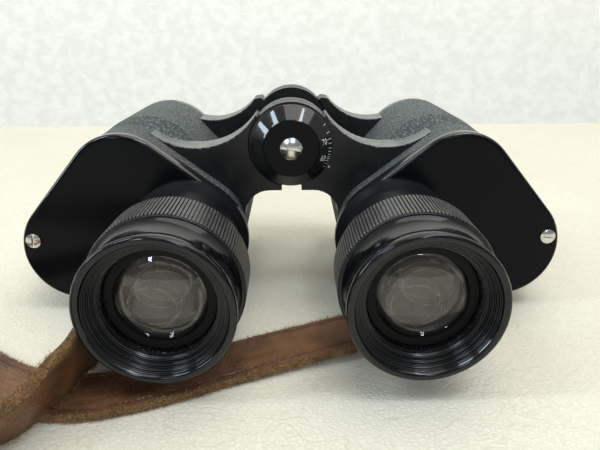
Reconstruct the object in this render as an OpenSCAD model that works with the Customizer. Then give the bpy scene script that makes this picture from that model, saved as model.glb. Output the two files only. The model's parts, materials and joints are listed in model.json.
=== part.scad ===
// Folding prism binoculars, 8x30 size, with a focusing ring on each eyepiece.
// Lies on its prism housings with the hinge on top. +X to the right as seen from the
// eyepieces, +Y towards the objectives, +Z up. Origin under the middle, on the surface.

/* [Spacing] */
// Distance between the two eyepiece axes as the halves lie now
eye_spacing = 57.4; // [56.2:0.2:60]
// Distance from the hinge axis to each eyepiece axis
hinge_reach = 37.35; // [36.8:0.05:38]
// Sideways shift of the light path in each prism
prism_leg = 22.9; // [22.7:0.1:23.4]
// Angle of the first prism shift above the horizontal
prism_turn = 38.3; // [36:0.5:41]
// Height of the eyepiece axes above the surface
axis_height = 23.2; // [23.2:0.1:25]

/* [Housing] */
// From the eyecup rims to the face of the eyepiece-side cover
cover_front = 44; // [43:0.5:47]
// Depth of the prism housing between its two covers
housing_depth = 53.5; // [53:0.5:58]
// Wall of the casting
wall = 2.2; // [1.8:0.1:2.4]
// Corner radius round the eyepiece axis
eye_corner = 15; // [14.6:0.1:15.6]
// Corner radius round the upper, turned axis
turn_corner = 14.6; // [14.2:0.1:15.2]
// Corner radius round the objective axis
obj_corner = 15.5; // [15:0.1:16.4]
// How much wider the objective half of the housing is, at the upper corner
rear_swell = 2; // [1:0.1:2.4]
// Thickness of the leather covering
skin = 0.5; // [0.3:0.1:0.8]
// Width of the bare metal band beside each cover
band = 3; // [2:0.5:4]
// Depth of a cover plate
cover_depth = 2.5; // [2.2:0.1:3]
// Sheet thickness of a cover plate
cover_sheet = 1.2; // [1:0.1:1.4]
// Thickness of the shelf that both prisms sit on
shelf = 6; // [5:0.5:6.5]

/* [Prisms] */
// Width of a prism across its roof
prism_w = 18.4; // [17:0.2:18.6]
// Radius of the rounded prism ends
prism_end = 11.3; // [11:0.1:11.6]
// Flat left on the roof edge of a prism
prism_flat = 2.4; // [1.6:0.2:3.6]
// Thickness of the spring clip over a prism
clip_t = 0.5; // [0.4:0.1:0.7]
// Width of the spring clip
clip_w = 6; // [5:0.5:8]

/* [Hinge] */
// Radius of the hinge knuckles
knuckle_r = 12.1; // [11.8:0.1:12.3]
// Thickness of each hinge arm
arm_t = 10; // [9:0.5:11]
// From the eyepiece-side cover face to the front of the hinge arms
arm_setback = 10; // [9:0.5:11]
// Radius of the hinge axle
axle_r = 4.5; // [4:0.1:5.5]
// Radius of the tube between the arms
hinge_tube_r = 8; // [7:0.5:9]
// Radius of the scale cap
cap_r = 11.6; // [11:0.1:11.9]
// Radius of the flat face of the scale cap
cap_face_r = 7.75; // [7:0.25:9]
// Height of the scale cap above the arms
cap_h = 5.4; // [5:0.1:6]
// Radius of the scoop in the upper edge of the eyepiece-side arms
scoop_eye = 20.5; // [20:0.5:21]
// Radius of the scoop in the upper edge of the objective-side arms
scoop_obj = 18.5; // [18:0.5:21]

/* [Eyepieces] */
// Outer radius of an eyecup rim
rim_r = 17.4; // [17:0.1:17.8]
// Radius of the eyecup neck
neck_r = 16.4; // [16.2:0.1:16.8]
// Outer radius of a focusing ring
ring_r = 18.4; // [18:0.1:19]
// Width of a focusing ring
ring_w = 13; // [12:0.5:14]
// From the eyecup rim to the focusing ring
ring_front = 11; // [10.5:0.5:12]
// Ribs round a focusing ring
ribs = 100; // [80:4:120]
// Outer radius of the fixed eyepiece tube
tube_r = 14.8; // [14.6:0.1:15]
// Outer radius of the sliding lens tube
lens_tube_r = 12.3; // [12.2:0.1:12.4]
// Radius of the lenses of the eyepiece
eye_lens_r = 11.5; // [11.3:0.1:11.6]
// Clear radius of the eye lens
eye_clear_r = 10; // [9.4:0.1:10.2]

/* [Objectives] */
// Outer radius of an objective cell
cell_r = 19.4; // [19:0.1:19.4]
// Clear radius of an objective
clear_r = 15; // [14.5:0.1:15.2]
// Length of an objective cell
cell_l = 10; // [9:0.5:11]
// Length of the objective barrel and cell in front of the cover
snout = 15; // [14.5:0.5:20]
// Radius of an objective barrel
barrel_r = 17.6; // [17.2:0.1:18]

/* [Strap] */
// Width of the leather strap
strap_w = 15; // [13:1:15]
// Thickness of the leather strap
strap_t = 2.2; // [1.8:0.1:2.4]
// Height of the opening in a strap lug
lug_gap = 2.6; // [2.6:0.1:2.8]
// Thickness of a strap lug
lug_t = 1.4; // [1.2:0.1:1.5]

/* [Fit] */
// Running clearance on radius
run = 0.05; // [0.03:0.01:0.08]
// Gap between the knuckles, filled by a washer
knuckle_gap = 0.5; // [0.4:0.1:0.8]
// Washer thickness taken off that gap, on each face
washer_play = 0.05; // [0.03:0.01:0.08]

/* [Hidden] */

fine = 96;             // facets of a full turn
arc_step = 6;          // degrees between the points of a rounded outline
eps = 0.01;            // lets a cut run past a face

hinge_up = sqrt(hinge_reach * hinge_reach - eye_spacing * eye_spacing / 4);
eye_x = eye_spacing / 2;
turn_dir = [cos(prism_turn), sin(prism_turn)];
drop_dir = [sin(prism_turn), -cos(prism_turn)];
EYE = [eye_x, 0];
TURN = EYE + prism_leg * turn_dir;
OBJ = TURN + prism_leg * drop_dir;
HINGE = [0, hinge_up];

cast_front = cover_front + cover_depth;
cast_back = cast_front + housing_depth;
cover_back = cast_back + cover_depth;
overall = cover_back + snout;
shelf_front = (cast_front + cast_back - shelf) / 2;
shelf_back = shelf_front + shelf;
swell_setback = 14;               // from the front of the casting to the swell
swell_run = 4;                    // length over which it swells
swell_front = cast_front + swell_setback;
swell_full = swell_front + swell_run;
foot_r = axis_height + OBJ[1];    // the lower corner stands on the surface

arm_front = cover_front + arm_setback;
arm_front_end = arm_front + arm_t;
arm_back_end = cast_back;
arm_back = arm_back_end - arm_t;
knuckle_t = (arm_t - knuckle_gap) / 2;

boss_r = 13.2;          // bosses that take the fixed tube and the barrel
neck_thread_r = 11.6;   // threaded neck of the fixed tube and of the barrel
neck_l = 7;
light_r = 9.4;          // windows in the shelf
post = OBJ + [12.1, 2.95];            // screw of the eyepiece-side cover
rear_post = EYE + 12 * drop_dir;      // screw of the objective-side cover
post_r = 2;
screw_head_r = 2.1;
screw_head_h = 0.9;
screw_r = 1.1;
screw_l = 6;
cap_screw_head_r = 3.1;
cap_screw_r = 1.5;
cap_screw_l = 8;

cheek_r = knuckle_r + 1.45;   // reach of the corner beside the scale cap
cheek_gap = 0.3;              // gap between a cheek and the other half's knuckle
cheek_angle = 40;             // direction of that corner from the hinge axis
cheek_drop = knuckle_r + 1.4; // lower edge of the arms below the hinge axis
cheek_slot = 2.9;             // half the notch between the arms
fillet_r = 7.5;               // curve from the lower edge into the housing

cap_front = arm_front - washer_play - cap_h;
front_cap_h = 3.4;
front_cap_end = arm_back_end + washer_play + front_cap_h;
axle_start = cap_front + 2;
axle_end = front_cap_end - 1.4;

lug_x = 47;
lug_setback = 8.5;            // from the front of the casting to a strap lug
lug_y = cast_front + lug_setback;
lug_l = 4;
lug_play = 0.3;               // side play of the strap in its lug

clip_foot = 2.3;
clip_screw_r = 0.6;
clip_screw_l = 2.5;
prism_h = prism_leg - prism_flat / 2;

web_y = ring_front + 2;       // front face of the inner web of a focusing ring
web_t = 1.6;
spigot_l = 1;                 // threaded end of an eyecup
spigot_r = 15.8;
flange_r = 14.2;              // flange of the lens tube, held between web and eyecup
pocket_r = 14.6;
tube_setback = 7.2;           // from the front of a focusing ring to the fixed tube
tube_start = ring_front + tube_setback;
tube_floor = 4;               // from the bore's step to the face of the cover
tube_step = cover_front - tube_floor;
ring_end = ring_front + ring_w;
knurl_depth = 0.45;
funnel_y = 6;                 // depth of the funnel of an eyecup
lens_setback = 0.5;           // from the foot of the funnel to the lens tube
lens_room = 4;                // room for the lens tube to slide into
lens_tube_front = funnel_y + lens_setback;
lens_tube_end = tube_step - lens_room;
eye_ring_t = 1;               // ring that holds the eye lens
eye_lens_t = 4.5;             // edge of the eye lens
spacer_l = 15;
field_lens_t = 4.5;           // edge of the field lens
eye_edge = lens_tube_front + eye_ring_t;
eye_lens_back = eye_edge + eye_lens_t;
eye_curve = 28;
spacer_bore = 10.4;
field_edge = eye_lens_back + spacer_l;
field_back = field_edge + field_lens_t;
field_curve = 30;
stop_r = 8.6;                 // opening of the field stop
stop_rim_r = 10.6;            // bore of its threaded rim
stop_l = 2;
stop_t = 0.6;

cell_back = overall - cell_l;
nose_r = 16.9;                // threaded nose of the barrel inside the cell
nose_l = 2;
lens_shoulder = 0.8;          // shoulder that carries an objective, along and across
flint_t = 2.8;                // edge of the flint lens
crown_t = 1.3;                // edge of the crown lens
seat_y = cell_back + nose_l + lens_shoulder;
objective_r = clear_r + lens_shoulder;
flint_edge = seat_y + flint_t;
crown_edge = flint_edge + crown_t;
crown_curve = 70;
inner_curve = 80;

// Frame of the whole part: eyepiece axes lie axis_height up, middle of the length at y = 0
module placed() { translate([0, -overall / 2, axis_height]) children(); }
// One side, drawn on the right and mirrored for the left
module side(left) {
    placed() {
        if (left) mirror([1, 0, 0]) children();
        if (!left) children();
    }
}
// Extrudes an outline in x and z from y0 to y1
module along_y(y0, y1) { translate([0, y1, 0]) rotate([90, 0, 0]) linear_extrude(height = y1 - y0) children(); }
// A rod along y at the point at
module rod(at, r, y0, y1) { translate([at[0], y0, at[1]]) rotate([-90, 0, 0]) cylinder(h = y1 - y0, r = r, $fn = fine); }
// A turned piece round the axis through at; profile points are [radius, y]
module turned(at, profile) { translate([at[0], 0, at[1]]) rotate([-90, 0, 0]) rotate_extrude($fn = fine) polygon(profile); }
// A tube along y
module tube(at, r_out, r_in, y0, y1) { turned(at, [[r_in, y0], [r_out, y0], [r_out, y1], [r_in, y1]]); }

// Direction of the outward normal where a belt leaves circle a for circle b; each is [centre, radius]
function belt_normal(a, b) = let(d = b[0] - a[0])
    atan2(d[1], d[0]) - acos((a[1] - b[1]) / norm(d));
// Points of a belt stretched counter-clockwise round circles
function belt(c) = let(n = len(c)) [for (i = [0:n - 1])
    let(from = belt_normal(c[(i + n - 1) % n], c[i]), to0 = belt_normal(c[i], c[(i + 1) % n]),
        to = from + ((to0 - from) % 360 + 360) % 360, steps = max(1, ceil((to - from) / arc_step)))
    for (k = [0:steps]) let(t = from + (to - from) * k / steps) c[i][0] + c[i][1] * [cos(t), sin(t)]];
// Points of an arc
function arc(at, r, a0, a1, steps) = [for (k = [0:steps]) let(t = a0 + (a1 - a0) * k / steps) at + r * [cos(t), sin(t)]];

// Depth of a sphere of radius c at the radius r
function sag(r, c) = c - sqrt(c * c - r * r);

// Outline of the eyepiece half of the housing, grown by g
module front_outline(g) { polygon(belt([[EYE, eye_corner + g], [OBJ, obj_corner + g], [TURN, turn_corner + g]])); }
// Outline of the objective half: fuller above, and standing on its lower corner
module rear_outline(g) {
    polygon(belt([[EYE, eye_corner + g], [OBJ - [1.5, 0], foot_r + g], [TURN - [3, 0], turn_corner + rear_swell + g]]));
}
// Housing solid from y0 to y1, grown by g
module housing(g, y0, y1) {
    along_y(y0, swell_front) front_outline(g);
    hull() {
        along_y(swell_front - eps, swell_front) front_outline(g);
        along_y(swell_full, swell_full + eps) rear_outline(g);
    }
    along_y(swell_full, y1) rear_outline(g);
}

// Arm from the housing to the hinge, scooped out above, with its corner beside the scale cap
module arm_shape(scoop) {
    difference() {
        polygon(concat([[cheek_slot, hinge_up - cheek_drop]],
            arc([cheek_slot + 3.5, hinge_up - cheek_drop - fillet_r], fillet_r, 90, 0, 8),
            [[EYE[0] - eye_corner + 2, EYE[1] - 4], EYE - [0, 4], TURN,
            TURN + [-6, turn_corner - 1.6],
            HINGE + cheek_r * [cos(cheek_angle), sin(cheek_angle)],
            HINGE + cheek_slot * [1, tan(cheek_angle)]]));
        translate(HINGE + [27.2, 19.7]) circle(r = scoop, $fn = fine);
    }
}
// The part of an arm beside the other half's knuckle
module cheek(scoop) {
    difference() {
        arm_shape(scoop);
        translate(HINGE) circle(r = knuckle_r + cheek_gap, $fn = fine);
    }
}
module knuckle(scoop) {
    arm_shape(scoop);
    translate(HINGE) circle(r = knuckle_r, $fn = fine);
}
// The arm of one end: its knuckle fills the first or the last part of the thickness
module arm(y, scoop, knuckle_first) {
    k = knuckle_first ? y : y + arm_t - knuckle_t;
    along_y(y, y + arm_t) cheek(scoop);
    along_y(k, k + knuckle_t) knuckle(scoop);
}

// Straight underside of the eyepiece half: its outward direction, slope and the middle of the lug
under = belt_normal([EYE, eye_corner], [OBJ, obj_corner]);
lug_tilt = under + 90;
lug_run = (lug_x - EYE[0] - eye_corner * cos(under)) / cos(lug_tilt);
LUG = EYE + eye_corner * [cos(under), sin(under)] + lug_run * [cos(lug_tilt), sin(lug_tilt)];

// Outline of a strap lug with its opening
module lug_shape() {
    translate(LUG) rotate(lug_tilt) difference() {
        translate([-strap_w / 2 - lug_play - lug_t, -lug_gap - lug_t])
            square([strap_w + 2 * lug_play + 2 * lug_t, lug_gap + lug_t + 1.2]);
        translate([-strap_w / 2 - lug_play, -lug_gap]) square([strap_w + 2 * lug_play, lug_gap + 2]);
    }
}

// Places a child at each foot of the clip over the prism between a and b, +y into the shelf
module at_clip_feet(a, b, y, flip) {
    m = (a + b) / 2;
    n = (b - a) / norm(b - a);
    for (s = [-1, 1]) {
        p = m + s * (prism_w / 2 + clip_t + clip_foot / 2) * [-n[1], n[0]];
        translate([p[0], y, p[1]]) {
            if (flip) mirror([0, 1, 0]) children();
            if (!flip) children();
        }
    }
}

module casting(left) {
    side(left) difference() {
        union() {
            housing(-skin, cast_front + band, cast_back - band);
            along_y(cast_front, cast_front + band) front_outline(0);
            along_y(cast_back - band, cast_back) rear_outline(0);
            arm(arm_front, scoop_eye, !left);
            arm(arm_back, scoop_obj, left);
            along_y(lug_y, lug_y + lug_l) lug_shape();
        }
        along_y(cast_front - eps, shelf_front) difference() {
            front_outline(-wall - skin);
            translate(EYE) circle(r = boss_r, $fn = fine);
            translate(post) circle(r = post_r, $fn = fine);
        }
        along_y(shelf_back, cast_back + eps) difference() {
            rear_outline(-wall - skin);
            translate(OBJ) circle(r = boss_r, $fn = fine);
            translate(rear_post) circle(r = post_r, $fn = fine);
        }
        rod(EYE, neck_thread_r, cast_front - eps, cast_front + neck_l);
        rod(OBJ, neck_thread_r, cast_back - neck_l, cast_back + eps);
        rod(EYE, light_r, cast_front, shelf_back + eps);
        rod(OBJ, light_r, shelf_front - eps, cast_back);
        rod(TURN, light_r, shelf_front - eps, shelf_back + eps);
        rod(post, screw_r, cast_front - eps, cast_front + screw_l);
        rod(rear_post, screw_r, cast_back - screw_l, cast_back + eps);
        rod(HINGE, axle_r + (left ? 0 : run), arm_front - eps, arm_back_end + eps);
        at_clip_feet(OBJ, TURN, shelf_front, false) rod([0, 0], clip_screw_r, -eps, clip_screw_l);
        at_clip_feet(EYE, TURN, shelf_back, true) rod([0, 0], clip_screw_r, -eps, clip_screw_l);
    }
}

module leatherette(left) {
    side(left) difference() {
        housing(0, cast_front + band, cast_back - band);
        housing(-skin, cast_front + band - eps, cast_back - band + eps);
        along_y(arm_front, arm_front_end) arm_shape(scoop_eye);
        along_y(arm_back, arm_back_end) arm_shape(scoop_obj);
        along_y(lug_y, lug_y + lug_l) lug_shape();
    }
}

module eyepiece_cover(left) {
    side(left) difference() {
        hull() {
            along_y(cover_front + 1.1, cast_front) front_outline(0.3);
            along_y(cover_front, cover_front + 0.2) front_outline(-0.8);
        }
        along_y(cover_front + cover_sheet, cast_front + eps) front_outline(-cover_sheet);
        rod(EYE, neck_thread_r + run, cover_front - 1, cast_front + 1);
        rod(post, screw_r + 0.1, cover_front - 1, cast_front + 1);
    }
}

module objective_cover(left) {
    side(left) difference() {
        hull() {
            along_y(cast_back, cover_back - 1.1) rear_outline(-0.3);
            along_y(cover_back - 0.2, cover_back) rear_outline(-1.4);
        }
        along_y(cast_back - eps, cover_back - cover_sheet) rear_outline(-cover_sheet - 0.6);
        rod(OBJ, neck_thread_r + run, cast_back - 1, cover_back + 1);
        rod(rear_post, screw_r + 0.1, cast_back - 1, cover_back + 1);
    }
}

// Slotted screw along +y, the underside of its domed head at y = 0
module slotted_screw(head_r, head_h, shank_r, length, slot_angle) {
    difference() {
        union() {
            intersection() {
                rod([0, 0], head_r, -head_h, 0);
                translate([0, 2.2 * head_r - head_h, 0]) sphere(r = 2.2 * head_r, $fn = fine);
            }
            rod([0, 0], shank_r, -eps, length);
        }
        rotate([0, slot_angle, 0]) translate([-head_r - 1, -head_h - 1, -head_h * 0.32])
            cube([2 * head_r + 2, 1 + head_h * 0.55, head_h * 0.64]);
    }
}

module cover_screws(left) {
    side(left) {
        translate([post[0], cover_front, post[1]])
            slotted_screw(screw_head_r, screw_head_h, screw_r, screw_l, left ? 85 : 5);
        translate([rear_post[0], cover_back, rear_post[1]]) mirror([0, 1, 0])
            slotted_screw(screw_head_r, screw_head_h, screw_r, screw_l, 40);
    }
}

// Porro prism standing on the shelf at y over the axes a and b; apex -1 points to the eyepiece
module porro_prism(a, b, y, apex) {
    d = b - a;
    half = asin(prism_w / 2 / prism_end);
    ends = concat(arc([prism_leg / 2, 0], prism_end, -half, half, 8),
        arc([-prism_leg / 2, 0], prism_end, 180 - half, 180 + half, 8));
    translate([(a[0] + b[0]) / 2, y, (a[1] + b[1]) / 2]) rotate([0, -atan2(d[1], d[0]), 0]) intersection() {
        along_y(-prism_leg, prism_leg) polygon(ends);
        linear_extrude(height = prism_w + 2, center = true)
            polygon([[-prism_leg, 0], [prism_leg, 0], [prism_flat / 2, apex * prism_h], [-prism_flat / 2, apex * prism_h]]);
    }
}

// Spring strap over the roof edge of a prism, with a foot on each side
module prism_clip(a, b, y, apex) {
    d = b - a;
    inner = prism_w / 2;
    outer = inner + clip_t;
    top = prism_h + clip_t;
    translate([(a[0] + b[0]) / 2, y, (a[1] + b[1]) / 2]) rotate([0, -atan2(d[1], d[0]), 0]) difference() {
        rotate([0, 90, 0]) linear_extrude(height = clip_w, center = true)
            polygon([[inner, 0], [outer + clip_foot, 0], [outer + clip_foot, apex * clip_t], [outer, apex * clip_t],
                [outer, apex * top], [-outer, apex * top], [-outer, apex * clip_t],
                [-outer - clip_foot, apex * clip_t], [-outer - clip_foot, 0], [-inner, 0],
                [-inner, apex * prism_h], [inner, apex * prism_h]]);
        for (s = [-1, 1]) rod([0, s * (outer + clip_foot / 2)], clip_screw_r + 0.05, -2, 2);
    }
}

module prism_clips(left) {
    side(left) {
        prism_clip(OBJ, TURN, shelf_front, -1);
        prism_clip(EYE, TURN, shelf_back, 1);
    }
}

module clip_screws(left) {
    side(left) {
        at_clip_feet(OBJ, TURN, shelf_front, false) translate([0, -clip_t, 0])
            slotted_screw(1.05, 0.6, clip_screw_r, clip_screw_l + clip_t, 20);
        at_clip_feet(EYE, TURN, shelf_back, true) translate([0, -clip_t, 0])
            slotted_screw(1.05, 0.6, clip_screw_r, clip_screw_l + clip_t, 20);
    }
}

// Tube screwed into the housing; the focusing ring turns and slides on it
module fixed_tube(left) {
    side(left) turned(EYE, [[lens_tube_r + run, tube_start], [tube_r - 0.4, tube_start], [tube_r, tube_start + 0.4],
        [tube_r, cover_front - 3.2], [tube_r + 1.8, cover_front - 2.2], [tube_r + 1.8, cover_front],
        [neck_thread_r, cover_front], [neck_thread_r, cast_front + neck_l - 1.5],
        [9.9, cast_front + neck_l - 1.5], [9.9, tube_step], [lens_tube_r + run, tube_step]]);
}

module lens_tube(left) {
    side(left) turned(EYE, [[eye_lens_r, lens_tube_front], [lens_tube_r, lens_tube_front],
        [lens_tube_r, ring_front + spigot_l + washer_play], [flange_r, ring_front + spigot_l + washer_play],
        [flange_r, web_y - washer_play], [lens_tube_r, web_y - washer_play],
        [lens_tube_r, lens_tube_end], [eye_lens_r, lens_tube_end]]);
}

// Lens with a rounded front, a flat rim inside the edge radius and a flat back
module rounded_lens(at, edge_r, clear, curve, y_edge, y_back) {
    rod(at, edge_r, y_edge, y_back);
    intersection() {
        translate([at[0], y_edge - sag(clear, curve) + curve, at[1]]) sphere(r = curve, $fn = fine);
        rod(at, clear, y_edge - sag(clear, curve) - 1, y_edge + 1);
    }
}
module eye_lens(left) { side(left) rounded_lens(EYE, eye_lens_r, eye_clear_r, eye_curve, eye_edge, eye_lens_back); }
module eye_lens_ring(left) {
    side(left) turned(EYE, [[eye_clear_r, eye_edge], [eye_clear_r + 0.5, lens_tube_front], [eye_lens_r, lens_tube_front],
        [eye_lens_r, eye_edge]]);
}
module lens_spacer(left) { side(left) tube(EYE, eye_lens_r, spacer_bore, eye_lens_back, field_edge); }
module field_lens(left) { side(left) rounded_lens(EYE, eye_lens_r, spacer_bore, field_curve, field_edge, field_back); }
module field_stop(left) {
    side(left) turned(EYE, [[stop_r, field_back], [eye_lens_r, field_back], [eye_lens_r, field_back + stop_l],
        [stop_rim_r, field_back + stop_l], [stop_rim_r, field_back + stop_t], [stop_r, field_back + stop_t]]);
}

// Ribbed outline of a focusing ring
module ribbed(r, depth, count) {
    pitch = 360 / count;
    polygon([for (k = [0:count - 1], q = [[0, r], [0.42, r], [0.56, r - depth], [0.86, r - depth]])
        q[1] * [cos((k + q[0]) * pitch), sin((k + q[0]) * pitch)]]);
}
module focus_ring(left) {
    r = ring_r - knurl_depth;
    side(left) difference() {
        union() {
            turned(EYE, [[spigot_r, ring_front], [r - 0.6, ring_front], [r, ring_front + 0.6], [r, ring_end - 0.6],
                [r - 0.6, ring_end], [spigot_r, ring_end]]);
            along_y(ring_front + 1, ring_end - 1) translate(EYE) ribbed(ring_r, knurl_depth, ribs);
            rod(EYE, spigot_r + 0.3, ring_front + spigot_l, ring_end);
        }
        rod(EYE, spigot_r, ring_front - eps, ring_front + spigot_l);
        rod(EYE, pocket_r, ring_front, web_y);
        rod(EYE, lens_tube_r + run, ring_front, ring_end);
        rod(EYE, tube_r + run, web_y + web_t, ring_end + eps);
    }
}

module eyecup(left) {
    side(left) turned(EYE, [[15.5, 0.7], [15.7, 0.25], [16.1, 0.03], [16.6, 0], [17.1, 0.2], [rim_r, 0.7],
        [rim_r, 2.2], [17.1, 3], [16.6, 3.9], [neck_r, 5], [neck_r, 7.4], [16.6, 9.6], [16.9, ring_front],
        [spigot_r, ring_front], [spigot_r, ring_front + spigot_l], [12.5, ring_front + spigot_l], [12.5, funnel_y]]);
}

module barrel(left) {
    side(left) turned(OBJ, [[9.9, cast_back - neck_l + 1.5], [neck_thread_r, cast_back - neck_l + 1.5],
        [neck_thread_r, cover_back], [barrel_r, cover_back], [barrel_r, cell_back], [nose_r, cell_back],
        [nose_r, cell_back + nose_l], [clear_r, cell_back + nose_l], [clear_r - 0.4, cover_back + 1.6],
        [10.6, cover_back + 1.6]]);
}

module objective_cell(left) {
    side(left) turned(OBJ, [[nose_r, cell_back], [cell_r - 0.5, cell_back], [cell_r, cell_back + 0.5],
        [cell_r, overall - 0.8], [cell_r - 0.8, overall], [16.9, overall], [16.3, overall - 0.6],
        [objective_r + 0.2, crown_edge + 1.2], [objective_r, crown_edge + 1.2], [objective_r, seat_y], [clear_r, seat_y],
        [clear_r, cell_back + nose_l], [nose_r, cell_back + nose_l]]);
}
// Points along a sphere of radius c from the radius r0 to r1, its vertex at y
function cap_arc(y, c, r0, r1) = [for (k = [0:8]) let(r = r0 + (r1 - r0) * k / 8) [r, y + sag(r, abs(c)) * sign(c)]];
inner_vertex = flint_edge - sag(objective_r, inner_curve);
module objective_flint(left) {
    side(left) turned(OBJ, concat([[0, seat_y], [objective_r, seat_y]], cap_arc(inner_vertex, inner_curve, objective_r, 0)));
}
module objective_crown(left) {
    side(left) turned(OBJ, concat(cap_arc(inner_vertex, inner_curve, 0, objective_r), [[objective_r, crown_edge]],
        cap_arc(crown_edge + sag(clear_r, crown_curve), -crown_curve, clear_r, 0)));
}
module objective_ring(left) { side(left) tube(OBJ, objective_r, clear_r, crown_edge, crown_edge + 1); }

module hinge_axle() {
    placed() difference() {
        rod(HINGE, axle_r, axle_start, axle_end);
        rod(HINGE, cap_screw_r, axle_start - eps, cap_front + cap_screw_l);
        rod(HINGE, cap_screw_r, front_cap_end - cap_screw_l, axle_end + eps);
    }
}
module hinge_tube() { placed() tube(HINGE, hinge_tube_r, axle_r, arm_front_end, arm_back); }
module hinge_washers() {
    placed() {
        tube(HINGE, knuckle_r - 0.3, axle_r, arm_front_end - knuckle_t - knuckle_gap + washer_play, arm_front_end - knuckle_t);
        tube(HINGE, knuckle_r - 0.3, axle_r, arm_back + knuckle_t, arm_back + knuckle_t + knuckle_gap - washer_play);
    }
}
module scale_cap() {
    placed() turned(HINGE, [[cap_screw_r, cap_front], [cap_face_r, cap_front], [cap_r, cap_front + cap_r - cap_face_r],
        [cap_r, arm_front - washer_play], [axle_r, arm_front - washer_play], [axle_r, axle_start], [cap_screw_r, axle_start]]);
}
module front_cap() {
    placed() turned(HINGE, [[axle_r, arm_back_end + washer_play], [cap_r, arm_back_end + washer_play],
        [cap_r, front_cap_end - 1.2], [cap_r - 1.2, front_cap_end], [cap_screw_r, front_cap_end], [cap_screw_r, axle_end],
        [axle_r, axle_end]]);
}
module cap_screws() {
    placed() {
        translate([HINGE[0], cap_front, HINGE[1]]) slotted_screw(cap_screw_head_r, 1, cap_screw_r, cap_screw_l, 8);
        translate([HINGE[0], front_cap_end, HINGE[1]]) mirror([0, 1, 0])
            slotted_screw(cap_screw_head_r, 1, cap_screw_r, cap_screw_l, 50);
    }
}

// Smooth curve through control points, n steps between two of them
function between(a, b, c, d, t) = 0.5 * (2 * b + (c - a) * t + (2 * a - 5 * b + 4 * c - d) * t * t
    + (3 * b - a - 3 * c + d) * t * t * t);
function smooth(p, n) = let(last = len(p) - 1) [for (i = [0:last - 1], k = [0:(i == last - 1 ? n : n - 1)])
    between(p[max(i - 1, 0)], p[i], p[i + 1], p[min(i + 2, last)], k / n)];
function flat3(v) = [v[0], v[1], v[2]];
function unit(v) = v / norm(v);

lie = strap_t / 2 - axis_height;    // height of the middle of the strap lying flat
in_lug = LUG[1] - lug_gap / 2 / cos(lug_tilt);
strap_end = lug_y + lug_l + 1.2;   // where the strap ends behind a lug
// Route of the strap from the left lug to the right one: x, y, height of its middle, roll
route = [[-lug_x, strap_end, in_lug, -lug_tilt], [-lug_x, lug_y, in_lug, -lug_tilt],
    [-lug_x, 50.8, -19.25, 8.5], [-lug_x, 45.4, -19.9, 11.5], [-47.6, 38.6, -18.8, 26], [-49, 31, -16.85, 47],
    [-49.6, 23, -15.6, 70], [-48.8, 17, -15.4, 82], [-48.6, 10, -13.35, 80], [-48.9, 1.5, -13.3, 76],
    [-50.4, -4.5, -13.35, 70], [-53.2, -10, -15.2, 64], [-57.2, -14.6, -15.9, 58], [-68, -24, -16.9, 46],
    [-88, -40, -18.8, 26], [-118, -58, -21.15, 6], [-152, -71, lie + 0.15, 0], [-200, -70, lie, 0],
    [-235, -44, lie, 0], [-248, -2, lie, 0], [-234, 40, lie, 0], [-197, 64, lie, 0], [-152, 62, lie, 0],
    [-115, 42, lie, 0], [-88, 20, lie, 0], [-67, 6.5, lie, 0], [-50, 2.6, lie, 0], [-39, 4.2, lie, 0],
    [-28, 8.5, lie, 0], [-16.6, 13.8, -21.9, 0], [-2.5, 19.2, -21.2, 0], [12.3, 24.6, -20.6, 0],
    [26, 30.8, -20.4, 1], [36, 37.4, -20.1, 4], [43, 45, -19.7, 6.5], [46.2, 50.2, -19.15, -lug_tilt],
    [lug_x, lug_y, in_lug, -lug_tilt], [lug_x, strap_end, in_lug, -lug_tilt]];

// The strap along its smoothed route; roll 0 lies flat
module strap() {
    path = smooth(route, 3);
    last = len(path) - 1;
    w = strap_w / 2;
    t = strap_t / 2;
    c = 0.5;
    form = [[w, c - t], [w, t - c], [w - c, t], [c - w, t], [-w, t - c], [-w, c - t], [c - w, -t], [w - c, -t]];
    m = len(form);
    points = [for (j = [0:last])
        let(go = unit(flat3(path[min(j + 1, last)]) - flat3(path[max(j - 1, 0)])),
            level = unit(cross([0, 0, 1], go)), up = cross(go, level), a = path[j][3],
            wide = cos(a) * level + sin(a) * up, thick = cos(a) * up - sin(a) * level)
        for (q = form) flat3(path[j]) + q[0] * wide + q[1] * thick];
    sides = [for (j = [0:last - 1], i = [0:m - 1]) let(a = j * m + i, b = j * m + (i + 1) % m)
        for (f = [[a, a + m, b + m], [a, b + m, b]]) f];
    placed() polyhedron(points = points, faces = concat(sides, [[for (i = [0:m - 1]) i]],
        [[for (i = [m - 1:-1:0]) last * m + i]]));
}

color([0.12, 0.12, 0.13]) casting(true);  // left_casting
color([0.12, 0.12, 0.13]) casting(false);  // right_casting
color([0.17, 0.17, 0.17]) leatherette(true);  // left_leatherette
color([0.17, 0.17, 0.17]) leatherette(false);  // right_leatherette
color([0.06, 0.06, 0.07]) eyepiece_cover(true);  // left_eyepiece_cover
color([0.06, 0.06, 0.07]) eyepiece_cover(false);  // right_eyepiece_cover
color([0.06, 0.06, 0.07]) objective_cover(true);  // left_objective_cover
color([0.06, 0.06, 0.07]) objective_cover(false);  // right_objective_cover
color([0.7, 0.7, 0.68]) cover_screws(true);  // left_cover_screws
color([0.7, 0.7, 0.68]) cover_screws(false);  // right_cover_screws
color([0.75, 0.85, 0.88]) side(true) porro_prism(OBJ, TURN, shelf_front, -1);  // left_eyepiece_prism
color([0.75, 0.85, 0.88]) side(false) porro_prism(OBJ, TURN, shelf_front, -1);  // right_eyepiece_prism
color([0.75, 0.85, 0.88]) side(true) porro_prism(EYE, TURN, shelf_back, 1);  // left_objective_prism
color([0.75, 0.85, 0.88]) side(false) porro_prism(EYE, TURN, shelf_back, 1);  // right_objective_prism
color([0.6, 0.55, 0.4]) prism_clips(true);  // left_prism_clips
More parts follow.
